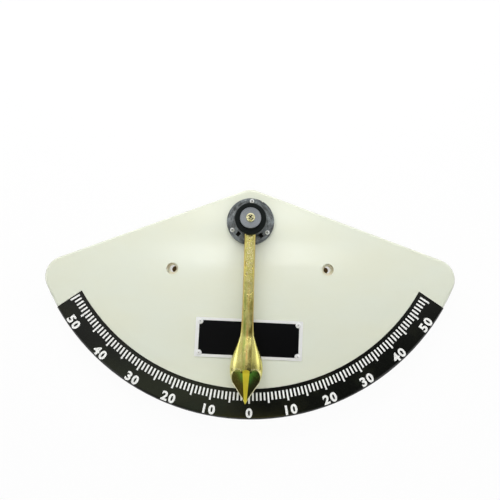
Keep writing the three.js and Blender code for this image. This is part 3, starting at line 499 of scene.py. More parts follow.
def cast_brass(settings):
    """Cast brass, pebbled on the arm and polished on the bob, stained in its hollows, with painted light:
    reflection streaks and shade down the lower arm, glints and facet-edge highlights.
    """
    finish = Finish("cast brass")
    low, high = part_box("pendulum")
    across, depth, up = finish.axes(finish.place((PIVOT.x, (low.y + high.y) / 2, PIVOT.z)))
    lean_across, lean_up = math.sin(settings.lean), math.cos(settings.lean)
    aside = across * lean_up - up * lean_across
    down = -1 * (up * lean_up + across * lean_across)
    off_centre = abs(aside)

    pebbles = finish.noise(finish.place(stretch=(1, 1, 0.7)), 420, 3, 0.6)
    hollows = finish.noise(finish.place((0.13, 0, 0.21), (1, 1, 0.4)), 150, 2)
    cloud = finish.noise(finish.place(), 55, 3)
    reflection_streaks = finish.noise(finish.place(stretch=(1, 1, 0.08)), 330, 3)
    fine = finish.noise(finish.place(), 800, 2)

    # Zones of the casting, by distance from its middle line and down from the pivot.
    band = finish.span(off_centre, 5.8 * MM, 7.5 * MM, 1, 0)
    unground = finish.span(down, 200 * MM, 206 * MM, 1, 0)
    cast = band * finish.span(down, 125 * MM, 175 * MM, 1, 0.6) * unground
    high_up = finish.span(down, 60 * MM, 120 * MM, 1, 0) * band
    low_down = finish.span(down, 80 * MM, 125 * MM) * finish.span(down, 155 * MM, 185 * MM, 1, 0.8)
    low_down = low_down * band * unground
    on_bob = finish.span(down, 150 * MM, 180 * MM) * band * unground
    arm_edge = finish.span(off_centre, 6 * MM, 6.8 * MM) * finish.span(abs(depth), 3 * MM, 3.6 * MM)
    arm_edge = arm_edge * finish.span(down, 140 * MM, 160 * MM, 1, 0)

    # What lies in the zones: stain and pits, and painted light: green and coppery reflection streaks and
    # shade down the lower arm, glints on the pebbles and a highlight along the facets.
    stain = finish.span(pebbles * 0.5 + hollows * 0.5, 0.42, 0.6)
    green_reflection = finish.stripe(aside, -6.5 * MM, -4.5 * MM, -3.5 * MM, -1.5 * MM)
    copper_reflection = finish.stripe(aside, -1.5 * MM, 0, 1 * MM, 2.5 * MM)
    shade = finish.span(aside, 1 * MM, 3 * MM)
    # Painted glints: pale specks on the pebbled upper arm.
    painted_glints = finish.span(off_centre, 3.5 * MM, 5 * MM, 1, 0) * finish.span(
        fine * 0.6 + pebbles * 0.4, 0.53, 0.58)
    pits = finish.span(fine * 0.5 + hollows * 0.5, 0.47, 0.42)
    # A painted highlight along the point's facet edges.
    rim = painted_facet_highlight(finish, off_centre, down, depth)

    body = finish.mix(finish.span(cloud, 0.4, 0.65), tuple(settings.brass_colour), (0.83, 0.77, 0.32))
    for share, colour in (
            (stain * cast * 0.55, (0.4, 0.33, 0.07)),
            (on_bob * 0.4, (0.46, 0.4, 0.12)),
            # Painted reflections of the room as green and coppery streaks, and painted shade on the right,
            # down the lower arm.
            (green_reflection * finish.span(reflection_streaks, 0.3, 0.6) * low_down * 0.9, (0.3, 0.44, 0.09)),
            (copper_reflection * finish.span(reflection_streaks, 0.35, 0.6) * low_down * 0.85, (0.8, 0.44, 0.15)),
            (shade * finish.span(hollows, 0.35, 0.6) * low_down * 0.95, (0.16, 0.13, 0.025)),
            (pits * high_up * 0.7, (0.42, 0.29, 0.06)),
            # The painted glints.
            (painted_glints * high_up, (1, 0.93, 0.6)),
            (arm_edge * 0.75, (0.6, 0.4, 0.13)),
            # The painted facet-edge highlight, which is also made less metallic further down.
            (rim, (1, 0.96, 0.6))):
        body = finish.mix(share, body, colour)
    relief = (pebbles * 0.6 + hollows) * cast * finish.span(down, 85 * MM, 120 * MM, 1, 0.6)
    dulled = unground * finish.span(cloud, 0.35, 0.65, 0.14, 0.2) + arm_edge * 0.2
    finish.set(
        Base_Color=body,
        Metallic=1 - rim * 0.65,
        Roughness=0.09 + dulled + cast * finish.span(hollows, 0.35, 0.65, 0.0, 0.12),
        Normal=finish.bump(relief, 1.1 * MM, 0.8))
    return finish.material


def screw_metal(name, colour, centre, recess_out, recess_reach, smooth, rough, metallic=1.0, recess_shade_share=0.08):
    """Metal of a screw with painted shade in its recess, its colour cut to a share there; the recess is
    what lies behind a distance out.
    """
    finish = Finish(name, Metallic=metallic)
    across, depth, up = finish.axes(finish.place(centre))
    inside = (across * across + up * up) < recess_reach * recess_reach
    hollow = finish.span(depth, -recess_out, 0.3 * MM - recess_out) * inside
    grain = finish.noise(finish.place(), 800, 2)
    finish.set(
        # Painted shade darkens the recess.
        Base_Color=finish.mix(hollow, colour, tuple(value * recess_shade_share for value in colour)),
        Roughness=finish.span(grain, 0.3, 0.7, smooth, rough) + hollow * 0.4,
        Normal=finish.bump(grain, 0.25 * MM, 0.6))
    return finish.material


def join(bm):
    """All of a mesh's geometry, which operators take together."""
    return [*bm.verts, *bm.edges, *bm.faces]


def only(geometry, kind):
    """The parts of one kind among an operator's geometry."""
    return [item for item in geometry if isinstance(item, kind)]


def raise_faces(bm, faces, move):
    """Extrudes faces by a vector and gives the moved vertices."""
    made = bmesh.ops.extrude_face_region(bm, geom=faces)["geom"]
    verts = only(made, bmesh.types.BMVert)
    bmesh.ops.translate(bm, verts=verts, vec=move)
    return verts


def sink_faces(bm, faces, depth):
    """Sinks faces that look out of the board and gives the vertices of the hollow's floor."""
    verts = raise_faces(bm, faces, -OUTWARD * depth)
    bmesh.ops.delete(bm, geom=faces, context="FACES")
    return verts


def score(bm, centre, lines):
    """Cuts a mesh's faces either side of a centre. A line is the cut's normal and its distance off."""
    for normal, reach in lines:
        for sign in (-1, 1):
            bmesh.ops.bisect_plane(
                bm, geom=join(bm), dist=CUT_REACH, plane_co=centre + normal * reach * sign, plane_no=normal)


def finish_piece(bm, name, material, body, replaced=(), smooth_below=SMOOTH_BELOW):
    """Makes an object of a mesh, smooth but for its sharp edges, riding on its body."""
    for face in bm.faces:
        face.smooth = True
    for edge in bm.edges:
        edge.smooth = edge.is_manifold and edge.calc_face_angle(0) < smooth_below
    mesh = bpy.data.meshes.new(name)
    bm.to_mesh(mesh)
    bm.free()
    piece = bpy.data.objects.new(name, mesh)
    bpy.context.scene.collection.objects.link(piece)
    piece.data.materials.append(material)
    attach(piece, body)
    if replaced:
        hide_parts(*replaced)
    return piece


def weigh_normals(piece):
    """Keeps large flat faces flat beside rounded edges."""
    weigh = piece.modifiers.new("Weighted normals", "WEIGHTED_NORMAL")
    weigh.keep_sharp = True
    weigh.weight = 100


def round_edges(piece, width, segments, angle=None):
    """Rounds the edges of a piece that are sharper than an angle, or than the modifier's own."""
    edges = piece.modifiers.new("Edges", "BEVEL")
    edges.width = width
    edges.segments = segments
    edges.limit_method = "ANGLE"
    if angle is not None:
        edges.angle_limit = angle


def copy_of(node):
    """A node's mesh with its loose triangles merged."""
    bm = bmesh.new()
    bm.from_mesh(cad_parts[node].data)
    bmesh.ops.remove_doubles(bm, verts=bm.verts, dist=2 * WELD_REACH)
    bmesh.ops.dissolve_degenerate(bm, edges=bm.edges, dist=WELD_REACH)
    return bm


def dress(node, name, material):
    """Puts a finished copy in a board's node's place, with its flat faces kept flat."""
    piece = finish_piece(copy_of(node), name, material, "board", [node])
    weigh_normals(piece)


def turned(profile, centre=AXIS_FOOT, steps=ROUND_STEPS, into=None):
    """Turns a profile of (radius, distance out of the wall) in millimetres about a line out of the wall."""
    bm = into or bmesh.new()
    before = set(bm.verts)
    corners = [bm.verts.new((radius * MM, -out * MM, 0)) for radius, out in profile]
    edges = [bm.edges.new(pair) for pair in zip(corners, corners[1:])]
    if profile[0][0] > 0 and profile[-1][0] > 0:
        edges.append(bm.edges.new((corners[-1], corners[0])))
    bmesh.ops.spin(
        bm, geom=corners + edges, cent=(0, 0, 0), axis=(0, 1, 0), angle=FULL_TURN, steps=steps,
        use_merge=True)
    bmesh.ops.remove_doubles(bm, verts=[vert for vert in bm.verts if vert not in before], dist=WELD_REACH)
    bmesh.ops.translate(bm, verts=[vert for vert in bm.verts if vert not in before], vec=centre)
    bmesh.ops.recalc_face_normals(bm, faces=[face for face in bm.faces if face.verts[0] not in before])
    return bm


def rounded(points, radius, steps=4):
    """Rounds the marked corners of a profile. A corner is (radius, out) or (radius, out, share)."""
    path = []
    for index, point in enumerate(points):
        here = Vector(point[:2])
        share = point[2] if len(point) > 2 else 0
        if not share:
            path.append(tuple(here))
            continue
        before = Vector(points[index - 1][:2]) - here
        after = Vector(points[(index + 1) % len(points)][:2]) - here
        reach = radius * share
        start = here + before.normalized() * min(reach, before.length / 2)
        end = here + after.normalized() * min(reach, after.length / 2)
        for step in range(steps + 1):
            t = step / steps
            path.append(tuple(start * (1 - t) ** 2 + here * 2 * t * (1 - t) + end * t ** 2))
    return path


def cut_recess(bm, centre, reach, width, depth, turn):
    """Sinks a cross recess into a head that faces out of the board."""
    spin = Matrix.Rotation(turn, 3, "Y")
    across, upward = spin @ Vector((1, 0, 0)), spin @ Vector((0, 0, 1))
    score(bm, centre, [(along, off) for along in (across, upward) for off in (reach, width)])
    front = max(-vert.co.y for vert in bm.verts)
    cross = []
    for face in bm.faces:
        middle = face.calc_center_median()
        near, far = sorted(abs((middle - centre).dot(along)) for along in (across, upward))
        if near < width and far < reach and face.normal.y < -0.3 and -middle.y > front - depth:
            cross.append(face)
    verts = sink_faces(bm, cross, depth)
    floor, flatness = max(vert.co.y for vert in verts), 0.8
    for vert in verts:
        vert.co.y += (floor - vert.co.y) * flatness


class INCLINOMETER_OT_board(bpy.types.Operator):
    """Dress the moulded dial board with its glossy cream finish"""

    bl_idname = "inclinometer.board"
    bl_label = "Dial board"

    def execute(self, context):
        dress("dial_board", "board", cream_plastic(context.scene.inclinometer_dial))
        return {"FINISHED"}


class INCLINOMETER_OT_film(bpy.types.Operator):
    """Dress the scale film that wraps over the lower edge"""

    bl_idname = "inclinometer.film"
    bl_label = "Scale film"

    def execute(self, context):
        dress("scale_band", "scale_film", black_film(context.scene.inclinometer_dial))
        return {"FINISHED"}


class INCLINOMETER_OT_divisions(bpy.types.Operator):
    """Lay a white division in each slot of the film"""

    bl_idname = "inclinometer.divisions"
    bl_label = "Divisions"

    # What a division's width, depth and length fall short of its slot's.
    SHORTFALL = 0.03 * MM

    def execute(self, context):
        dial = context.scene.inclinometer_dial
        film = BOARD_FRONT - FILM_FRONT
        bm = bmesh.new()
        for division in range(-dial.divisions, dial.divisions + 1):
            length = dial.long_length if division % 5 == 0 else dial.short_length
            size = Vector((dial.division_width, film, length)) - Vector((self.SHORTFALL,) * 3)
            middle = (0, BOARD_FRONT - film / 2, -dial.inner_radius - length / 2)
            turn = Matrix.Rotation(-division * dial.step - dial.shift, 3, "Y")
            made = bmesh.ops.create_cube(bm, size=1)["verts"]
            bmesh.ops.scale(bm, verts=made, vec=size)
            bmesh.ops.translate(bm, verts=made, vec=middle)
            bmesh.ops.rotate(bm, verts=made, cent=(0, 0, 0), matrix=turn)
        bmesh.ops.translate(bm, verts=bm.verts, vec=(0, 0, dial.arc_rise))
        finish_piece(bm, "scale_divisions", white_print(dial), "board")
        return {"FINISHED"}


class INCLINOMETER_OT_numerals(bpy.types.Operator):
    """Print the numerals on the film, their tops towards the scale's centre"""

    bl_idname = "inclinometer.numerals"
    bl_label = "Numerals"

    # How far a figure's strokes are thickened, as a share of the font's size, and how thick the ink lies.
    STROKE_SHARE = 0.04
    INK = 0.06 * MM
    INK_SUNK = 0.005 * MM

    def figure(self, context, sign):
        """One figure as a flat mesh about its own middle, with its width and height."""
        curve = bpy.data.curves.new("figure", "FONT")
        curve.body = sign
        curve.offset = self.STROKE_SHARE
        curve.resolution_u = 8
        holder = bpy.data.objects.new("figure", curve)
        context.scene.collection.objects.link(holder)
        context.view_layer.update()
        mesh = bpy.data.meshes.new_from_object(holder.evaluated_get(context.evaluated_depsgraph_get()))
        bpy.data.objects.remove(holder)
        bpy.data.curves.remove(curve)
        bm = bmesh.new()
        bm.from_mesh(mesh)
        bpy.data.meshes.remove(mesh)
        low = Vector([min(vert.co[axis] for vert in bm.verts) for axis in range(2)])
        high = Vector([max(vert.co[axis] for vert in bm.verts) for axis in range(2)])
        centre = (low + high) / 2
        bmesh.ops.translate(bm, verts=bm.verts, vec=(-centre.x, -centre.y, 0))
        return bm, high - low

    def execute(self, context):
        dial = context.scene.inclinometer_dial
        nought, size = self.figure(context, "0")
        nought.free()
        wide, tall = dial.numeral_width / size.x, dial.numeral_height / size.y
        stand = Matrix.Rotation(QUARTER_TURN, 4, "X")
        drop = Matrix.Translation((0, FILM_FRONT - self.INK_SUNK, -dial.numeral_radius))
        lift = Matrix.Translation((0, 0, dial.arc_rise))
        numerals = bmesh.new()
        for tens in range(-5, 6):
            signs = str(abs(tens) * 10)
            for place, sign in enumerate(signs):
                bm, _ = self.figure(context, sign)
                bmesh.ops.scale(bm, verts=bm.verts, vec=(wide, tall, 1))
                raise_faces(bm, list(bm.faces), Vector((0, 0, self.INK)))
                bmesh.ops.recalc_face_normals(bm, faces=bm.faces)
                angle = tens * 10 * dial.step + dial.shift
                angle += (place - (len(signs) - 1) / 2) * dial.numeral_pitch
                bm.transform(lift @ Matrix.Rotation(-angle, 4, "Y") @ drop @ stand)
                mesh = bpy.data.meshes.new("figure")
                bm.to_mesh(mesh)
                bm.free()
                numerals.from_mesh(mesh)
                bpy.data.meshes.remove(mesh)
        finish_piece(numerals, "scale_numerals", white_print(dial), "board")
        return {"FINISHED"}


class INCLINOMETER_OT_nameplate(bpy.types.Operator):
    """Dress the nameplate and fill its bare field with black enamel"""

    bl_idname = "inclinometer.nameplate"
    bl_label = "Nameplate"

    # The land that the field leaves round a rivet, and how far the enamel stays off the field's edge.
    LAND = 4.1 * MM
    MARGIN = 0.1 * MM
    FIELD_DEPTH = 0.2 * MM
    ENAMEL = 0.14 * MM
    ENAMEL_SUNK = 0.01 * MM
    LAND_STEPS = 14

    def execute(self, context):
        dial = context.scene.inclinometer_dial
        dress("nameplate", "nameplate_plate", plate_metal())
        centre = centre_of("nameplate")
        turn = Matrix.Rotation(dial.plate_turn, 3, "Y")
        half_width = dial.field_width / 2 - self.MARGIN
        half_height = dial.field_height / 2 - self.MARGIN
        rivet = turn.inverted() @ (centre_of("nameplate_rivet_4") - centre)
        rivet = Vector((abs(rivet.x), 0, abs(rivet.z)))
        start_x = rivet.x - math.sqrt(self.LAND ** 2 - (half_height - rivet.z) ** 2)
        end_z = rivet.z - math.sqrt(self.LAND ** 2 - (half_width - rivet.x) ** 2)
        start, end = Vector((start_x, 0, half_height)), Vector((half_width, 0, end_z))
        bm = bmesh.new()
        sweep = (start - rivet).angle(end - rivet)
        bmesh.ops.spin(
            bm, geom=[bm.verts.new(start)], cent=rivet, axis=OUTWARD, angle=sweep, steps=self.LAND_STEPS)
        for axis in "XZ":
            bmesh.ops.mirror(bm, geom=join(bm), matrix=Matrix.Identity(4), merge_dist=0, axis=axis)
        ring = sorted(bm.verts, key=lambda vert: math.atan2(vert.co.z, vert.co.x))
        for here, there in zip(ring, ring[1:] + ring[:1]):
            if not bm.edges.get((here, there)):
                bm.edges.new((here, there))
        bmesh.ops.contextual_create(bm, geom=list(bm.edges))
        raise_faces(bm, list(bm.faces), OUTWARD * self.ENAMEL)
        bmesh.ops.recalc_face_normals(bm, faces=bm.faces)
        bmesh.ops.rotate(bm, verts=bm.verts, cent=(0, 0, 0), matrix=turn)
        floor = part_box("nameplate")[0].y + self.FIELD_DEPTH
        bmesh.ops.translate(bm, verts=bm.verts, vec=(centre.x, floor - self.ENAMEL_SUNK, centre.z))
        finish_piece(bm, "nameplate_field", black_enamel(), "board")
        return {"FINISHED"}


class INCLINOMETER_OT_rivets(bpy.types.Operator):
    """Turn the nameplate's blind rivets with their dimpled heads"""

    bl_idname = "inclinometer.rivets"
    bl_label = "Nameplate rivets"

    # Radii, in millimetres.
    SHANK = 1.6
    BULGE = 2.5
    LIP = 1.15
    DIMPLE = 0.95
    PIN = 0.8

    # Heights from the rivet's tail, from the plate and down from the head's top, in millimetres.
    BULGE_RISE = 1.2
    HEAD_SIDE = 0.5
    SHOULDER_SHARE = 0.72
    SHOULDER_DROP = 0.12
    DIMPLE_EDGE_DROP = 0.55
    DIMPLE_DROP = 0.6
    PIN_FOOT_DROP = 0.75
    PIN_EDGE_DROP = 0.3
    PIN_DROP = 0.22

    def execute(self, context):
        metal = bright_metal("rivet aluminium", (0.94, 0.945, 0.955), 0.4, 0.5, 0.55)
        pin_metal = bright_metal("rivet pin", (0.42, 0.42, 0.42), 0.35, 0.5, 0.7)
        _, plate, _ = span_out("nameplate")
        skin = BOARD_OUT - BOARD_SKIN
        for number in range(1, 5):
            node = f"nameplate_rivet_{number}"
            tail, top, head = span_out(node)
            centre = centre_of(node)
            foot = (centre.x, 0, centre.z)
            bm = turned(rounded([
                (0, tail), (self.SHANK, tail), (self.BULGE, tail + self.BULGE_RISE, 1), (self.BULGE, skin),
                (self.SHANK, skin), (self.SHANK, plate), (head, plate), (head, plate + self.HEAD_SIDE, 1),
                (head * self.SHOULDER_SHARE, top - self.SHOULDER_DROP, 1), (self.LIP, top, 1),
                (self.DIMPLE, top - self.DIMPLE_EDGE_DROP, 1), (0, top - self.DIMPLE_DROP)], 0.35),
                foot, SMALL_STEPS)
            finish_piece(bm, f"rivet_{number}", metal, "board", [node])
            bm = turned(rounded([
                (0, top - self.PIN_FOOT_DROP), (self.PIN, top - self.PIN_FOOT_DROP),
                (self.PIN, top - self.PIN_EDGE_DROP, 1), (0, top - self.PIN_DROP)], 0.2), foot, SMALL_STEPS)
            finish_piece(bm, f"rivet_pin_{number}", pin_metal, "board")
        return {"FINISHED"}


class INCLINOMETER_OT_flange(bpy.types.Operator):
    """Turn the hub flange, sink its two pockets and nick its rim"""

    bl_idname = "inclinometer.flange"
    bl_label = "Hub flange"

    # Sizes in millimetres and turns about the pivot.
    BORE = 5.1
    NECK = 20
    NECK_RISE = 3
    NECK_FOOT = 3.2
    NECK_CROWN = 1
    RIM_SLOPE = 2.6
    EDGE_DROP = 0.4
    FACE_REACH = 0.5
    POCKET_REACH = 24.8
    POCKET_HALF_HEIGHT = 3.2
    POCKET_HALF_WIDTH = 2.7
    POCKET_DEPTH = 3
    POCKET_TURN = math.radians(140)
    CAST_TURN = math.radians(3.5)
    NICK_TURN = math.radians(30)
    NICK_HALF_TURN = math.radians(1.9)
    NICK_DEPTH = 1.3
    RIM_WIDTH = 3

    def sink_pocket(self, bm, face, turn):
        """Sinks a square pocket into the flange's face at a turn about the pivot."""
        outward = Vector((-math.sin(turn), 0, math.cos(turn)))
        along = Vector((math.cos(turn), 0, math.sin(turn)))
        spot = AXIS_FOOT + outward * self.POCKET_REACH * MM
        sides = ((outward, self.POCKET_HALF_HEIGHT * MM), (along, self.POCKET_HALF_WIDTH * MM))
        score(bm, spot, sides)
        pocket = []
        for poly in bm.faces:
            middle = poly.calc_center_median()
            inside = all(abs((middle - spot).dot(normal)) < reach for normal, reach in sides)
            if inside and -middle.y > (face - self.FACE_REACH) * MM:
                pocket.append(poly)
        for vert in sink_faces(bm, pocket, 0):
            vert.co.y = -(face - self.POCKET_DEPTH) * MM

    def nick_rim(self, bm, rim):
        """Pulls a short stretch of the rim in."""
        for vert in bm.verts:
            offset = vert.co - AXIS_FOOT
            turn, reach = math.atan2(offset.x, offset.z), math.hypot(offset.x, offset.z)
            if abs(turn - self.NICK_TURN) < self.NICK_HALF_TURN and reach > (rim - self.RIM_WIDTH) * MM:
                pull = 1 - self.NICK_DEPTH * MM / reach
                vert.co.x = AXIS_FOOT.x + offset.x * pull
                vert.co.z = AXIS_FOOT.z + offset.z * pull

    def execute(self, context):
        _, _, rim = span_out("hub_flange")
        face = BOARD_OUT + FLANGE_THICK
        top = face + self.NECK_RISE
        bm = turned(rounded([
            (self.BORE, BOARD_OUT), (rim, BOARD_OUT), (rim, face - self.EDGE_DROP, 1.4),
            (rim - self.RIM_SLOPE, face, 1), (self.NECK + self.NECK_FOOT, face, 1.6),
            (self.NECK, top - self.EDGE_DROP, 1), (self.NECK - self.NECK_CROWN, top, 0.6),
            (self.BORE, top)], 1.5, 5), steps=144)
        for side in (-1, 1):
            self.sink_pocket(bm, face, side * self.POCKET_TURN - self.CAST_TURN)
        self.nick_rim(bm, rim)
        finish = flange_plastic(context.scene.inclinometer_hub)
        finish_piece(bm, "flange", finish, "board", ["hub_flange"])
        return {"FINISHED"}


class INCLINOMETER_OT_flange_screws(bpy.types.Operator):
    """Turn the flange's pan-head screws and sink their cross recesses"""

    bl_idname = "inclinometer.flange_screws"
    bl_label = "Flange screws"

    # Sizes in millimetres and the turn from one screw's recess to the next.
    SHANK = 1.6
    SHANK_TIP = 1.1
    TIP_LENGTH = 0.8
    HEAD_SIDE = 1.3
    SHOULDER_SHARE = 0.7
    SHOULDER_RISE = 2.05
    HEAD_RISE = 2.2
    RECESS = (1.9 * MM, 0.5 * MM, 1.2 * MM)
    RECESS_TURN = math.radians(25)
    # Painted shade fills the cross recess below this height over the head's seat, within this radius, in
    # millimetres.
    SHADE_BELOW = 1.75
    SHADE_REACH = 2.1

    def execute(self, context):
        seat = BOARD_OUT + FLANGE_THICK
        for number in range(1, 4):
            node = f"flange_screw_{number}"
            end, _, head = span_out(node)
            centre = centre_of(node)
            foot = Vector((centre.x, 0, centre.z))
            bm = turned(rounded([
                (0, end), (self.SHANK_TIP, end), (self.SHANK, end + self.TIP_LENGTH), (self.SHANK, seat),
                (head, seat), (head, seat + self.HEAD_SIDE, 1.2),
                (head * self.SHOULDER_SHARE, seat + self.SHOULDER_RISE, 1),
                (0, seat + self.HEAD_RISE)], 0.7), foot, SMALL_STEPS)
            cut_recess(bm, foot, *self.RECESS, number * self.RECESS_TURN)
            finish = screw_metal(
                f"zinc plate {number}", (0.93, 0.95, 0.95), foot, (seat + self.SHADE_BELOW) * MM,
                self.SHADE_REACH * MM, 0.35, 0.45, metallic=0.6, recess_shade_share=0.3)
            finish_piece(bm, f"flange_screw_look_{number}", finish, "board", [node])
        return {"FINISHED"}


class INCLINOMETER_OT_shaft(bpy.types.Operator):
    """Dress the pivot shaft, its washer and its nut"""

    bl_idname = "inclinometer.shaft"
    bl_label = "Shaft and nut"

    # Sizes in millimetres. The thread is measured from the shaft's back end, a crest from its root.
    RADIUS = 5
    CREST = 4.98
    ROOT = 4.35
    TIP = 4.2
    THREAD_TURNS = 9
    THREAD_PITCH = 1
    THREAD_START = 0.8
    THREAD_END = 9.8
    RUN_OUT = 10.4
    CREST_START = 0.42
    CREST_END = 0.56
    COLLAR = 7.5
    COLLAR_BACK = 9
    COLLAR_FRONT = 11
    BORE = 3.1
    BORE_DEPTH = 16
    NUT_EDGE = 0.35 * MM

    def execute(self, context):
        steel = turned_metal("shaft steel", context.scene.inclinometer_hub.washer_colour)
        zinc = bright_metal("nut zinc", (0.7, 0.71, 0.7), 0.24, 0.4)
        back, _, _ = span_out("pivot_shaft")
        front, _, _ = span_out("retaining_washer")
        thread = []
        for turn in range(self.THREAD_TURNS):
            root = back + self.THREAD_START + turn * self.THREAD_PITCH
            thread += [
                (self.ROOT, root), (self.CREST, root + self.CREST_START),
                (self.CREST, root + self.CREST_END)]
        collar_back, collar_front = BOARD_OUT + self.COLLAR_BACK, BOARD_OUT + self.COLLAR_FRONT
        bore_end = front - self.BORE_DEPTH
        bm = turned([
            (0, back), (self.TIP, back), *thread, (self.ROOT, back + self.THREAD_END),
            (self.RADIUS, back + self.RUN_OUT), (self.RADIUS, collar_back), (self.COLLAR, collar_back),
            (self.COLLAR, collar_front), (self.RADIUS, collar_front), (self.RADIUS, front),
            (self.BORE, front), (self.BORE, bore_end), (0, bore_end)], steps=64)
        finish_piece(bm, "shaft", steel, "board", ["pivot_shaft"])
        for node, name in (("shaft_washer", "back_washer"), ("shaft_nut", "back_nut")):
            piece = finish_piece(copy_of(node), name, zinc, "board", [node])
            round_edges(piece, self.NUT_EDGE, 2)
        return {"FINISHED"}


class INCLINOMETER_OT_bearings(bpy.types.Operator):
    """Give the hidden bearings and their spacer plain metal finishes"""

    bl_idname = "inclinometer.bearings"
    bl_label = "Ball bearings"

    def execute(self, context):
        steel = bright_metal("bearing steel", (0.55, 0.57, 0.6), 0.1, 0.2)
        brass = bright_metal("cage brass", (0.6, 0.45, 0.16), 0.25, 0.4)
        for name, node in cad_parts.items():
            if name.startswith(("rear_bearing", "front_bearing")) or name == "bearing_spacer":
                node.data.materials.clear()
                node.data.materials.append(brass if "cage" in name else steel)
        return {"FINISHED"}


class INCLINOMETER_OT_housing(bpy.types.Operator):
    """Turn the black bearing housing with its softened rim"""

    bl_idname = "inclinometer.housing"
    bl_label = "Bearing housing"

    # Radii and distances from the housing's back and front, in millimetres.
    SEAT = 13.1
    STOP = 11.5
    NECK = 15.5
    NECK_LENGTH = 9.3
    REAR_SEAT = 7.7
    FRONT_SEAT = 7.4

    def execute(self, context):
        back, front, ring = span_out("bearing_housing")
        step = back + self.NECK_LENGTH
        rear, fore = back + self.REAR_SEAT, front - self.FRONT_SEAT
        bm = turned(rounded([
            (self.SEAT, back), (self.NECK, back), (self.NECK, step), (ring, step, 0.6), (ring, front, 1),
            (self.SEAT, front, 0.3), (self.SEAT, fore), (self.STOP, fore), (self.STOP, rear),
            (self.SEAT, rear)], 1.6, 5), steps=128)
        finish = housing_plastic(context.scene.inclinometer_hub)
        finish_piece(bm, "housing", finish, "pendulum", ["bearing_housing"])
        return {"FINISHED"}


class INCLINOMETER_OT_washer(bpy.types.Operator):
    """Turn the grey retaining washer"""

    bl_idname = "inclinometer.washer"
    bl_label = "Retaining washer"

    BORE = 3.1

    def execute(self, context):
        back, front, rim = span_out("retaining_washer")
        bm = turned(rounded([
            (self.BORE, back), (rim, back, 0.5), (rim, front, 1), (self.BORE, front)], 0.6), steps=128)
        finish = turned_metal("washer steel", context.scene.inclinometer_hub.washer_colour)
        finish_piece(bm, "washer", finish, "board", ["retaining_washer"])
        return {"FINISHED"}


class INCLINOMETER_OT_screw(bpy.types.Operator):
    """Turn the brass retaining screw and sink its cross recess"""

    bl_idname = "inclinometer.screw"
    bl_label = "Retaining screw"

    # Sizes in millimetres.
    SHANK = 3
    SHANK_TIP = 2.1
    TIP_LENGTH = 1.5
    HEAD_SIDE_SHARE = 0.6
    SHOULDER_SHARE = 0.72
    SHOULDER_DROP = 0.5
    RECESS = (3.3 * MM, 0.75 * MM, 2.4 * MM)
    # Painted shade fills the cross recess deeper than this below the head's top, within this radius, in
    # millimetres.
    SHADE_BELOW = 0.9
    SHADE_REACH = 3.6

    def execute(self, context):
        end, top, head = span_out("retaining_screw")
        _, seat, _ = span_out("retaining_washer")
        side = seat + (top - seat) * self.HEAD_SIDE_SHARE
        bm = turned(rounded([
            (0, end), (self.SHANK_TIP, end), (self.SHANK, end + self.TIP_LENGTH), (self.SHANK, seat),
            (head, seat), (head, side, 1.2), (head * self.SHOULDER_SHARE, top - self.SHOULDER_DROP, 1.2),
            (0, top)], 1.6, 6), steps=72)
        cut_recess(bm, AXIS_FOOT, *self.RECESS, context.scene.inclinometer_hub.recess_turn)
        finish = screw_metal(
            "screw brass", (0.95, 0.9, 0.56), AXIS_FOOT, (top - self.SHADE_BELOW) * MM,
            self.SHADE_REACH * MM, 0.14, 0.24)
        finish_piece(bm, "screw", finish, "board", ["retaining_screw"])
        return {"FINISHED"}


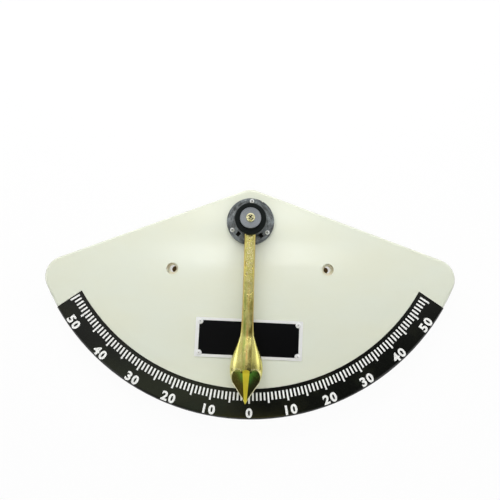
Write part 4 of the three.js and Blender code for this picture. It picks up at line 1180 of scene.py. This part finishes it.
class INCLINOMETER_OT_pendulum(bpy.types.Operator):
    """Model the brass casting ring by ring and grind its point"""

    bl_idname = "inclinometer.pendulum"
    bl_label = "Pendulum"

    # Distance below the pivot with half width and half thickness there, in millimetres.
    FORM = (
        (17.5, 7.6, 4.5), (60, 7.6, 4.5), (100, 7.65, 4.5), (125, 7.85, 4.5), (140, 8.2, 4.5),
        (150, 8.65, 4.6), (158, 9.6, 4.9), (162, 10.8, 5.4), (170, 13.5, 6.9), (178, 16.7, 9),
        (186, 19.5, 10.9), (194, 21.3, 12), (203, 22, 12.5), (212, 20.9, 12.5), (220.8, 18.04, 12.1))
    POINT = ((241.8, 3.7, 6.25), (247.8, 0.5, 2))

    # Where rings stand on the arm, and where the close rings of the swell and the bob begin.
    ARM_RINGS = (17.5, 60, 100, 120, 132)
    SWELL_START = 140
    SWELL_STEP = 1.3466
    SWELL_RINGS = 61
    SIDES = 64

    # A section's power from a flat bar's to a lens's, and the length over which it changes.
    BAR_POWER = 7
    LENS_POWER = 1.66
    CHANGE_LENGTH = 48

    EYE_ROUNDING = 0.8
    EDGE_ROUNDING = 0.8 * MM

    def half_sizes(self, distance):
        """Half width and half thickness at a distance, by a smooth curve through the form's rows."""
        rows = self.FORM
        index = next(index for index in range(len(rows) - 1) if distance <= rows[index + 1][0])
        before, here = rows[max(index - 1, 0)], rows[index]
        there, after = rows[index + 1], rows[min(index + 2, len(rows) - 1)]
        span = there[0] - here[0]
        t = (distance - here[0]) / span
        sizes = []
        for axis in (1, 2):
            rise_in = (there[axis] - before[axis]) / max(there[0] - before[0], 1) * span
            rise_out = (after[axis] - here[axis]) / max(after[0] - here[0], 1) * span
            sizes.append(
                (2 * t ** 3 - 3 * t ** 2 + 1) * here[axis] + (t ** 3 - 2 * t ** 2 + t) * rise_in
                + (3 * t ** 2 - 2 * t ** 3) * there[axis] + (t ** 3 - t ** 2) * rise_out)
        return sizes

    def shape_ring(self, verts, distance, half_width, half_thickness, out):
        """Places a ring's points on a section between a flat bar and a lens."""
        share = min(max((distance - self.SWELL_START) / self.CHANGE_LENGTH, 0), 1)
        roundness = math.sqrt(share * share * (3 - 2 * share))
        power = self.BAR_POWER + (self.LENS_POWER - self.BAR_POWER) * roundness
        for index, vert in enumerate(verts):
            angle = FULL_TURN * index / self.SIDES
            across, deep = math.cos(angle), math.sin(angle)
            reach = (abs(across) ** power + abs(deep) ** power) ** (-1 / power)
            vert.co = Vector((
                across * reach * half_width, -out - deep * reach * half_thickness, -distance)) * MM

    def grind(self, bm, out):
        """Cuts the middle facet, the two side facets and their broken edges, front and back."""
        cuts = [MIDDLE_FACET]
        cuts += [
            tuple((side * aside, down, proud) for aside, down, proud in corners)
            for corners in (FACET, BROKEN_EDGE) for side in (-1, 1)]
        for face in (-1, 1):
            for corners in cuts:
                first, second, third = (
                    Vector((aside, -out + face * proud, -down)) * MM for aside, down, proud in corners)
                normal = (second - first).cross(third - first).normalized()
                if normal.y * face < 0:
                    normal.negate()
                made = bmesh.ops.bisect_plane(
                    bm, geom=join(bm), dist=CUT_REACH, plane_co=first, plane_no=normal, clear_outer=True)
                bmesh.ops.contextual_create(bm, geom=only(made["geom_cut"], bmesh.types.BMEdge))
        bmesh.ops.recalc_face_normals(bm, faces=bm.faces)

    def execute(self, context):
        settings = context.scene.inclinometer_pendulum
        low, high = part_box("pendulum")
        out = -(low.y + high.y) / 2 / MM
        stations = [*self.ARM_RINGS]
        stations += [self.SWELL_START + step * self.SWELL_STEP for step in range(self.SWELL_RINGS)]
        rows = [(distance, *self.half_sizes(distance)) for distance in stations] + list(self.POINT)
        bm = bmesh.new()
        ring = bmesh.ops.create_circle(bm, segments=self.SIDES, radius=MM)["verts"]
        for index, row in enumerate(rows):
            if index:
                made = set(bmesh.ops.extrude_edge_only(bm, edges=edges)["geom"])
                ring = [
                    next(edge.other_vert(vert) for edge in vert.link_edges if edge.other_vert(vert) in made)
                    for vert in ring]
            edges = [bm.edges.get(pair) for pair in zip(ring, ring[1:] + ring[:1])]
            self.shape_ring(ring, *row, out)
            if index in (0, len(rows) - 1):
                bmesh.ops.contextual_create(bm, geom=edges)
        bmesh.ops.recalc_face_normals(bm, faces=bm.faces)
        self.grind(bm, out)
        bore, outside = settings.eye_bore / MM, settings.eye_radius / MM
        back, front = (out + side * settings.eye_thickness / 2 / MM for side in (-1, 1))
        turned(rounded([
            (bore, back), (outside, back, 1), (outside, front, 1), (bore, front)], self.EYE_ROUNDING),
            (0, 0, 0), into=bm)
        bm.transform(Matrix.Translation(AXIS_FOOT) @ Matrix.Rotation(settings.lean, 4, "Y"))
        piece = finish_piece(
            bm, "pendulum_casting", cast_brass(settings), "pendulum", ["pendulum"],
            CASTING_SMOOTH_BELOW)
        round_edges(piece, self.EDGE_ROUNDING, 3, CASTING_SMOOTH_BELOW)
        weigh_normals(piece)
        return {"FINISHED"}


class INCLINOMETER_OT_stage(bpy.types.Operator):
    """Set the pale floor and wall, the soft lights and the photograph's camera"""

    bl_idname = "inclinometer.stage"
    bl_label = "Stage"

    # Places and sizes in metres. A sheet has its size and place, and a lamp its size, place and target.
    FLOOR = -0.46
    CLOTH_LEVEL = FLOOR + 0.004
    CLOTH_LENGTH = 0.575
    CLOTH_OUT = -0.4875
    FAR_CLOTH = ((4.4, 1.0), (0, -1.28, CLOTH_LEVEL))
    FLOOR_SIZE = (8, 8)
    WALL_SIZE = (6, 6)
    WALL_GAP = 0.0006
    # Where the painted shade lies on the wall behind each fixing hole.
    HOLE_ASIDE = 0.1135
    HOLE_SHADE_RADIUS = 0.016
    FRONT_CARD = ((4.4, 2.4), (0, -1.75, 0.74))
    SIDE_SIZE = (2.4, 2.0)
    SIDE_PLACES = {"side_left": (-1.7, -0.7, 0.54), "side_right": (1.7, -0.7, 0.54)}
    WINDOW_MIDDLE = (0, -0.72, 0.12)
    TUBES = ((1.1, 0.16), (0, -1.5, 0.147))
    TUBE_OFFSET = 0.03
    LAMPS = {
        "key": ((1.4, 0.8), (-0.3, -0.8, 0.98), (0, 0, 0.02)),
        "top": ((0.8, 0.4), (0.05, -0.42, 0.62), (0, 0, 0.1)),
        "fill": ((0.8, 1.4), (1.6, -1.1, 0.3), (0, 0, 0)),
    }
    CAMERA_PLACE = (-0.0004, -0.6317, -0.0314)
    CAMERA_TILT = math.radians(5.5)
    CAMERA_ROLL = math.radians(0.536)
    SENSOR_WIDTH = 36

    # How much of the paper's look where it is seen is its own glow. The rest keeps the shadows.
    GLOW_SHARE = 0.94

    def backdrop(self, name, pale, open_behind=False):
        """Pale paper that keeps shadows. A wall has painted shade behind the fixing holes, a dark brown
        patch with a dim brown glow, and is open from behind.
        """
        paper = Finish(name, Base_Color=pale, Roughness=0.9)
        light = (1, 1, 1)
        if open_behind:
            # Painted shade: a dark brown patch, glowing dimly brown where seen, behind each fixing hole.
            across, _, up = paper.axes(paper.place())
            off_hole = abs(abs(across) - self.HOLE_ASIDE)
            hole = ((off_hole * off_hole + up * up) ** 0.5) < self.HOLE_SHADE_RADIUS
            light = paper.mix(hole, light, (0.055, 0.034, 0.013))
            paper.set(Base_Color=paper.mix(hole, pale, (0.09, 0.055, 0.025)))
        glow = paper.node("ShaderNodeEmission", inputs={"Color": light, "Strength": 1.0})
        mixed = paper.node("ShaderNodeMixShader", inputs={
            0: paper.seen() * self.GLOW_SHARE, 1: Term(paper, paper.shader.outputs[0]), 2: glow})
        if open_behind:
            behind = paper.node("ShaderNodeNewGeometry", output="Backfacing")
            clear = paper.node("ShaderNodeBsdfTransparent")
            mixed = paper.node("ShaderNodeMixShader", inputs={0: behind, 1: mixed, 2: clear})
        paper.feed(paper.tree.nodes["Material Output"].inputs["Surface"], mixed)
        return paper.material

    def sheet(self, name, size, place, material, axis=None, seen_by=None):
        """A sheet that lies level or stands up about an axis, seen by every kind of ray or by one."""
        stand = Matrix.Rotation(QUARTER_TURN, 4, axis) if axis else Matrix.Identity(4)
        bm = bmesh.new()
        bmesh.ops.create_grid(bm, x_segments=1, y_segments=1, size=0.5)
        bmesh.ops.scale(bm, verts=bm.verts, vec=(*size, 1))
        bm.transform(Matrix.Translation(place) @ stand)
        mesh = bpy.data.meshes.new(name)
        bm.to_mesh(mesh)
        bm.free()
        mesh.materials.append(material)
        sheet = bpy.data.objects.new(name, mesh)
        bpy.context.scene.collection.objects.link(sheet)
        if seen_by:
            for kind in ("camera", "glossy", "diffuse", "transmission", "volume_scatter", "shadow"):
                setattr(sheet, f"visible_{kind}", kind == seen_by)

    def front_card(self):
        """The room in front, which the board's gloss and the brass mirror: dim low down on the right."""
        card = Finish("studio dark", Base_Color=(0, 0, 0), Roughness=1.0)
        across, _, up = card.axes(card.place())
        low = card.span(across, -0.35, 0.1, 0.36, 0.06)
        level = card.span(up, -0.3, 0.35, low, 0.72) * card.span(up, 0.5, 0.9, 1, 0.55)
        glow = card.stripe(abs(across), 0.1, 0.17, 0.22, 0.45) * card.stripe(up, 0.3, 0.38, 0.46, 0.56)
        room = card.mix(level, (0, 0, 0), (1, 1, 0.94))
        card.set(Emission_Color=card.mix(glow, room, (2.8, 2.8, 2.7)), Emission_Strength=1.0)
        self.sheet("front_card", *self.FRONT_CARD, card.material, "X", "glossy")

    def floor_cloths(self):
        """Cloths on the floor for the ground point to mirror, and a glowing one further off for the film.
        """
        for name, aside, width, dark, pale, patch in (
                ("cloth_left", -0.26, 0.28, (0.045, 0.035, 0.01), (0.18, 0.46, 0.16), (0.01, -0.335)),
                ("cloth_middle", 0, 0.24, (0.36, 0.3, 0.04), (0.8, 0.74, 0.16), None),
                ("cloth_right", 0.26, 0.28, (0.002, 0.002, 0.002), (0.1, 0.42, 0.13), (-0.016, -0.32))):
            cloth = Finish(name, Roughness=1.0)
            across, out, _ = cloth.axes(cloth.place())
            folds = cloth.span(cloth.noise(cloth.place(), 24, 2), 0.38, 0.6, 0.5, 1)
            if patch:
                slant, end = patch
                folds = folds * cloth.span(abs(across) + out, slant, slant + 0.012, 1, 0)
                folds = folds * cloth.stripe(out, -0.39, -0.365, end, end + 0.02)
            cloth.set(Base_Color=cloth.mix(folds, dark, pale))
            self.sheet(
                name, (width, self.CLOTH_LENGTH), (aside, self.CLOTH_OUT, self.CLOTH_LEVEL),
                cloth.material, seen_by="glossy")
        # The far cloth is black with a glowing pale green-yellow stretch on its left, for the film to
        # mirror.
        black = (0.008, 0.008, 0.006)
        cloth = Finish("cloth_front", Base_Color=black, Roughness=1.0)
        across, _, _ = cloth.axes(cloth.place())
        left = cloth.stripe(across, -0.95, -0.75, -0.15, 0.03)
        cloth.set(Emission_Color=cloth.mix(left, black, (0.6, 0.66, 0.42)), Emission_Strength=1.0)
        self.sheet("cloth_front", *self.FAR_CLOTH, cloth.material, seen_by="glossy")

    def side_cards(self):
        """A window on each side for the brass to mirror, a little dimmer on the right."""
        side = Finish("studio side", Base_Color=(0, 0, 0), Roughness=1.0)
        aside, out, up = side.axes(side.place(self.WINDOW_MIDDLE))
        window = side.span(abs(out), 0.14, 0.4, 1, 0) * side.span(abs(up), 0.2, 0.6, 1, 0)
        window = window * side.span(aside, -1, 1, 1, 0.72)
        dim = side.mix(side.span(up, -0.5, -0.25), (0.03, 0.03, 0.025), (0.22, 0.22, 0.2))
        side.set(Emission_Color=side.mix(window, dim, (1, 1, 0.95)), Emission_Strength=2.5)
        for name, place in self.SIDE_PLACES.items():
            self.sheet(name, self.SIDE_SIZE, place, side.material, "Y", "glossy")

    def lit_tubes(self, level):
        """A pair of lit tubes that the board's gloss mirrors, dim in the middle, where the pendulum is."""
        tubes = Finish("studio tubes", Base_Color=(0, 0, 0), Roughness=1.0)
        across, _, up = tubes.axes(tubes.place((0, 0, self.TUBES[1][2])))
        pair = tubes.span(abs(abs(up) - self.TUBE_OFFSET), 0.004, 0.03, 1, 0.35)
        pair = pair * tubes.span(abs(up), 0.035, 0.075, 1, 0)
        lit = pair * tubes.stripe(abs(across), 0.05, 0.1, 0.2, 0.55)
        tubes.set(Emission_Color=tubes.mix(lit, (0.6, 0.6, 0.57), (level,) * 3), Emission_Strength=1.0)
        self.sheet("studio_tubes", *self.TUBES, tubes.material, "X", "glossy")

    def air(self, context, ambient):
        """Even light from all round, white where it is seen."""
        world = bpy.data.worlds.new("studio")
        world.use_nodes = True
        context.scene.world = world
        air = Shading(world.node_tree)
        ground = air.tree.nodes["Background"]
        air.feed(ground.inputs["Color"], (1, 1, 1))
        air.feed(ground.inputs["Strength"], air.span(air.seen(), 0, 1, ambient, 1))

    def lamp(self, name, power, size, place, target):
        """A soft rectangular light that faces a point and that no gloss mirrors."""
        light = bpy.data.lights.new(name, "AREA")
        light.shape = "RECTANGLE"
        light.size, light.size_y = size
        light.energy = power
        lamp = bpy.data.objects.new(name, light)
        bpy.context.scene.collection.objects.link(lamp)
        lamp.location = place
        lamp.rotation_mode = "QUATERNION"
        lamp.rotation_quaternion = (Vector(target) - Vector(place)).to_track_quat("-Z", "Y")
        lamp.visible_glossy = False

    def camera(self, context, lens):
        """The photograph's camera."""
        camera = bpy.data.cameras.new("camera")
        camera.sensor_width = self.SENSOR_WIDTH
        camera.lens = lens
        eye = bpy.data.objects.new("camera", camera)
        context.scene.collection.objects.link(eye)
        eye.matrix_world = (
            Matrix.Translation(self.CAMERA_PLACE)
            @ Matrix.Rotation(QUARTER_TURN + self.CAMERA_TILT, 4, "X")
            @ Matrix.Rotation(self.CAMERA_ROLL, 4, "Z"))
        context.scene.camera = eye

    def execute(self, context):
        stage = context.scene.inclinometer_stage
        pale = tuple(stage.floor_colour)
        self.sheet("floor", self.FLOOR_SIZE, (0, 0, self.FLOOR), self.backdrop("pale floor", pale))
        wall = self.backdrop("pale wall", pale, open_behind=True)
        self.sheet("wall", self.WALL_SIZE, (0, self.WALL_GAP, 0), wall, "X", "camera")
        self.front_card()
        self.floor_cloths()
        self.side_cards()
        self.lit_tubes(stage.tubes)
        self.air(context, stage.ambient)
        for name, (size, place, target) in self.LAMPS.items():
            self.lamp(name, getattr(stage, f"{name}_power"), size, place, target)
        self.camera(context, stage.lens)
        context.scene.view_settings.view_transform = "Standard"
        return {"FINISHED"}


PIECES = (
    INCLINOMETER_OT_board, INCLINOMETER_OT_film, INCLINOMETER_OT_divisions, INCLINOMETER_OT_numerals,
    INCLINOMETER_OT_nameplate, INCLINOMETER_OT_rivets, INCLINOMETER_OT_flange,
    INCLINOMETER_OT_flange_screws, INCLINOMETER_OT_shaft, INCLINOMETER_OT_bearings,
    INCLINOMETER_OT_housing, INCLINOMETER_OT_washer, INCLINOMETER_OT_screw, INCLINOMETER_OT_pendulum,
    INCLINOMETER_OT_stage,
)

SETTINGS = {
    "inclinometer_dial": InclinometerDial,
    "inclinometer_hub": InclinometerHub,
    "inclinometer_pendulum": InclinometerPendulum,
    "inclinometer_stage": InclinometerStage,
}


class INCLINOMETER_PT_sidebar(bpy.types.Panel):
    """Lists the pieces and the settings that shape them"""

    bl_idname = "INCLINOMETER_PT_sidebar"
    bl_label = "Pendulum inclinometer"
    bl_space_type = "VIEW_3D"
    bl_region_type = "UI"
    bl_category = "Inclinometer"

    def draw(self, context):
        for piece in PIECES:
            self.layout.operator(piece.bl_idname)
        for group in SETTINGS:
            settings = getattr(context.scene, group)
            for name in settings.__annotations__:
                self.layout.prop(settings, name)


def register():
    for group in (*SETTINGS.values(), *PIECES, INCLINOMETER_PT_sidebar):
        bpy.utils.register_class(group)
    for name, group in SETTINGS.items():
        setattr(bpy.types.Scene, name, PointerProperty(type=group))


def unregister():
    for name in SETTINGS:
        delattr(bpy.types.Scene, name)
    for group in (INCLINOMETER_PT_sidebar, *reversed(PIECES), *SETTINGS.values()):
        bpy.utils.unregister_class(group)


def main():
    register()
    for piece in PIECES:
        group, name = piece.bl_idname.split(".")
        getattr(getattr(bpy.ops, group), name)()


if __name__ == "__main__":
    main()
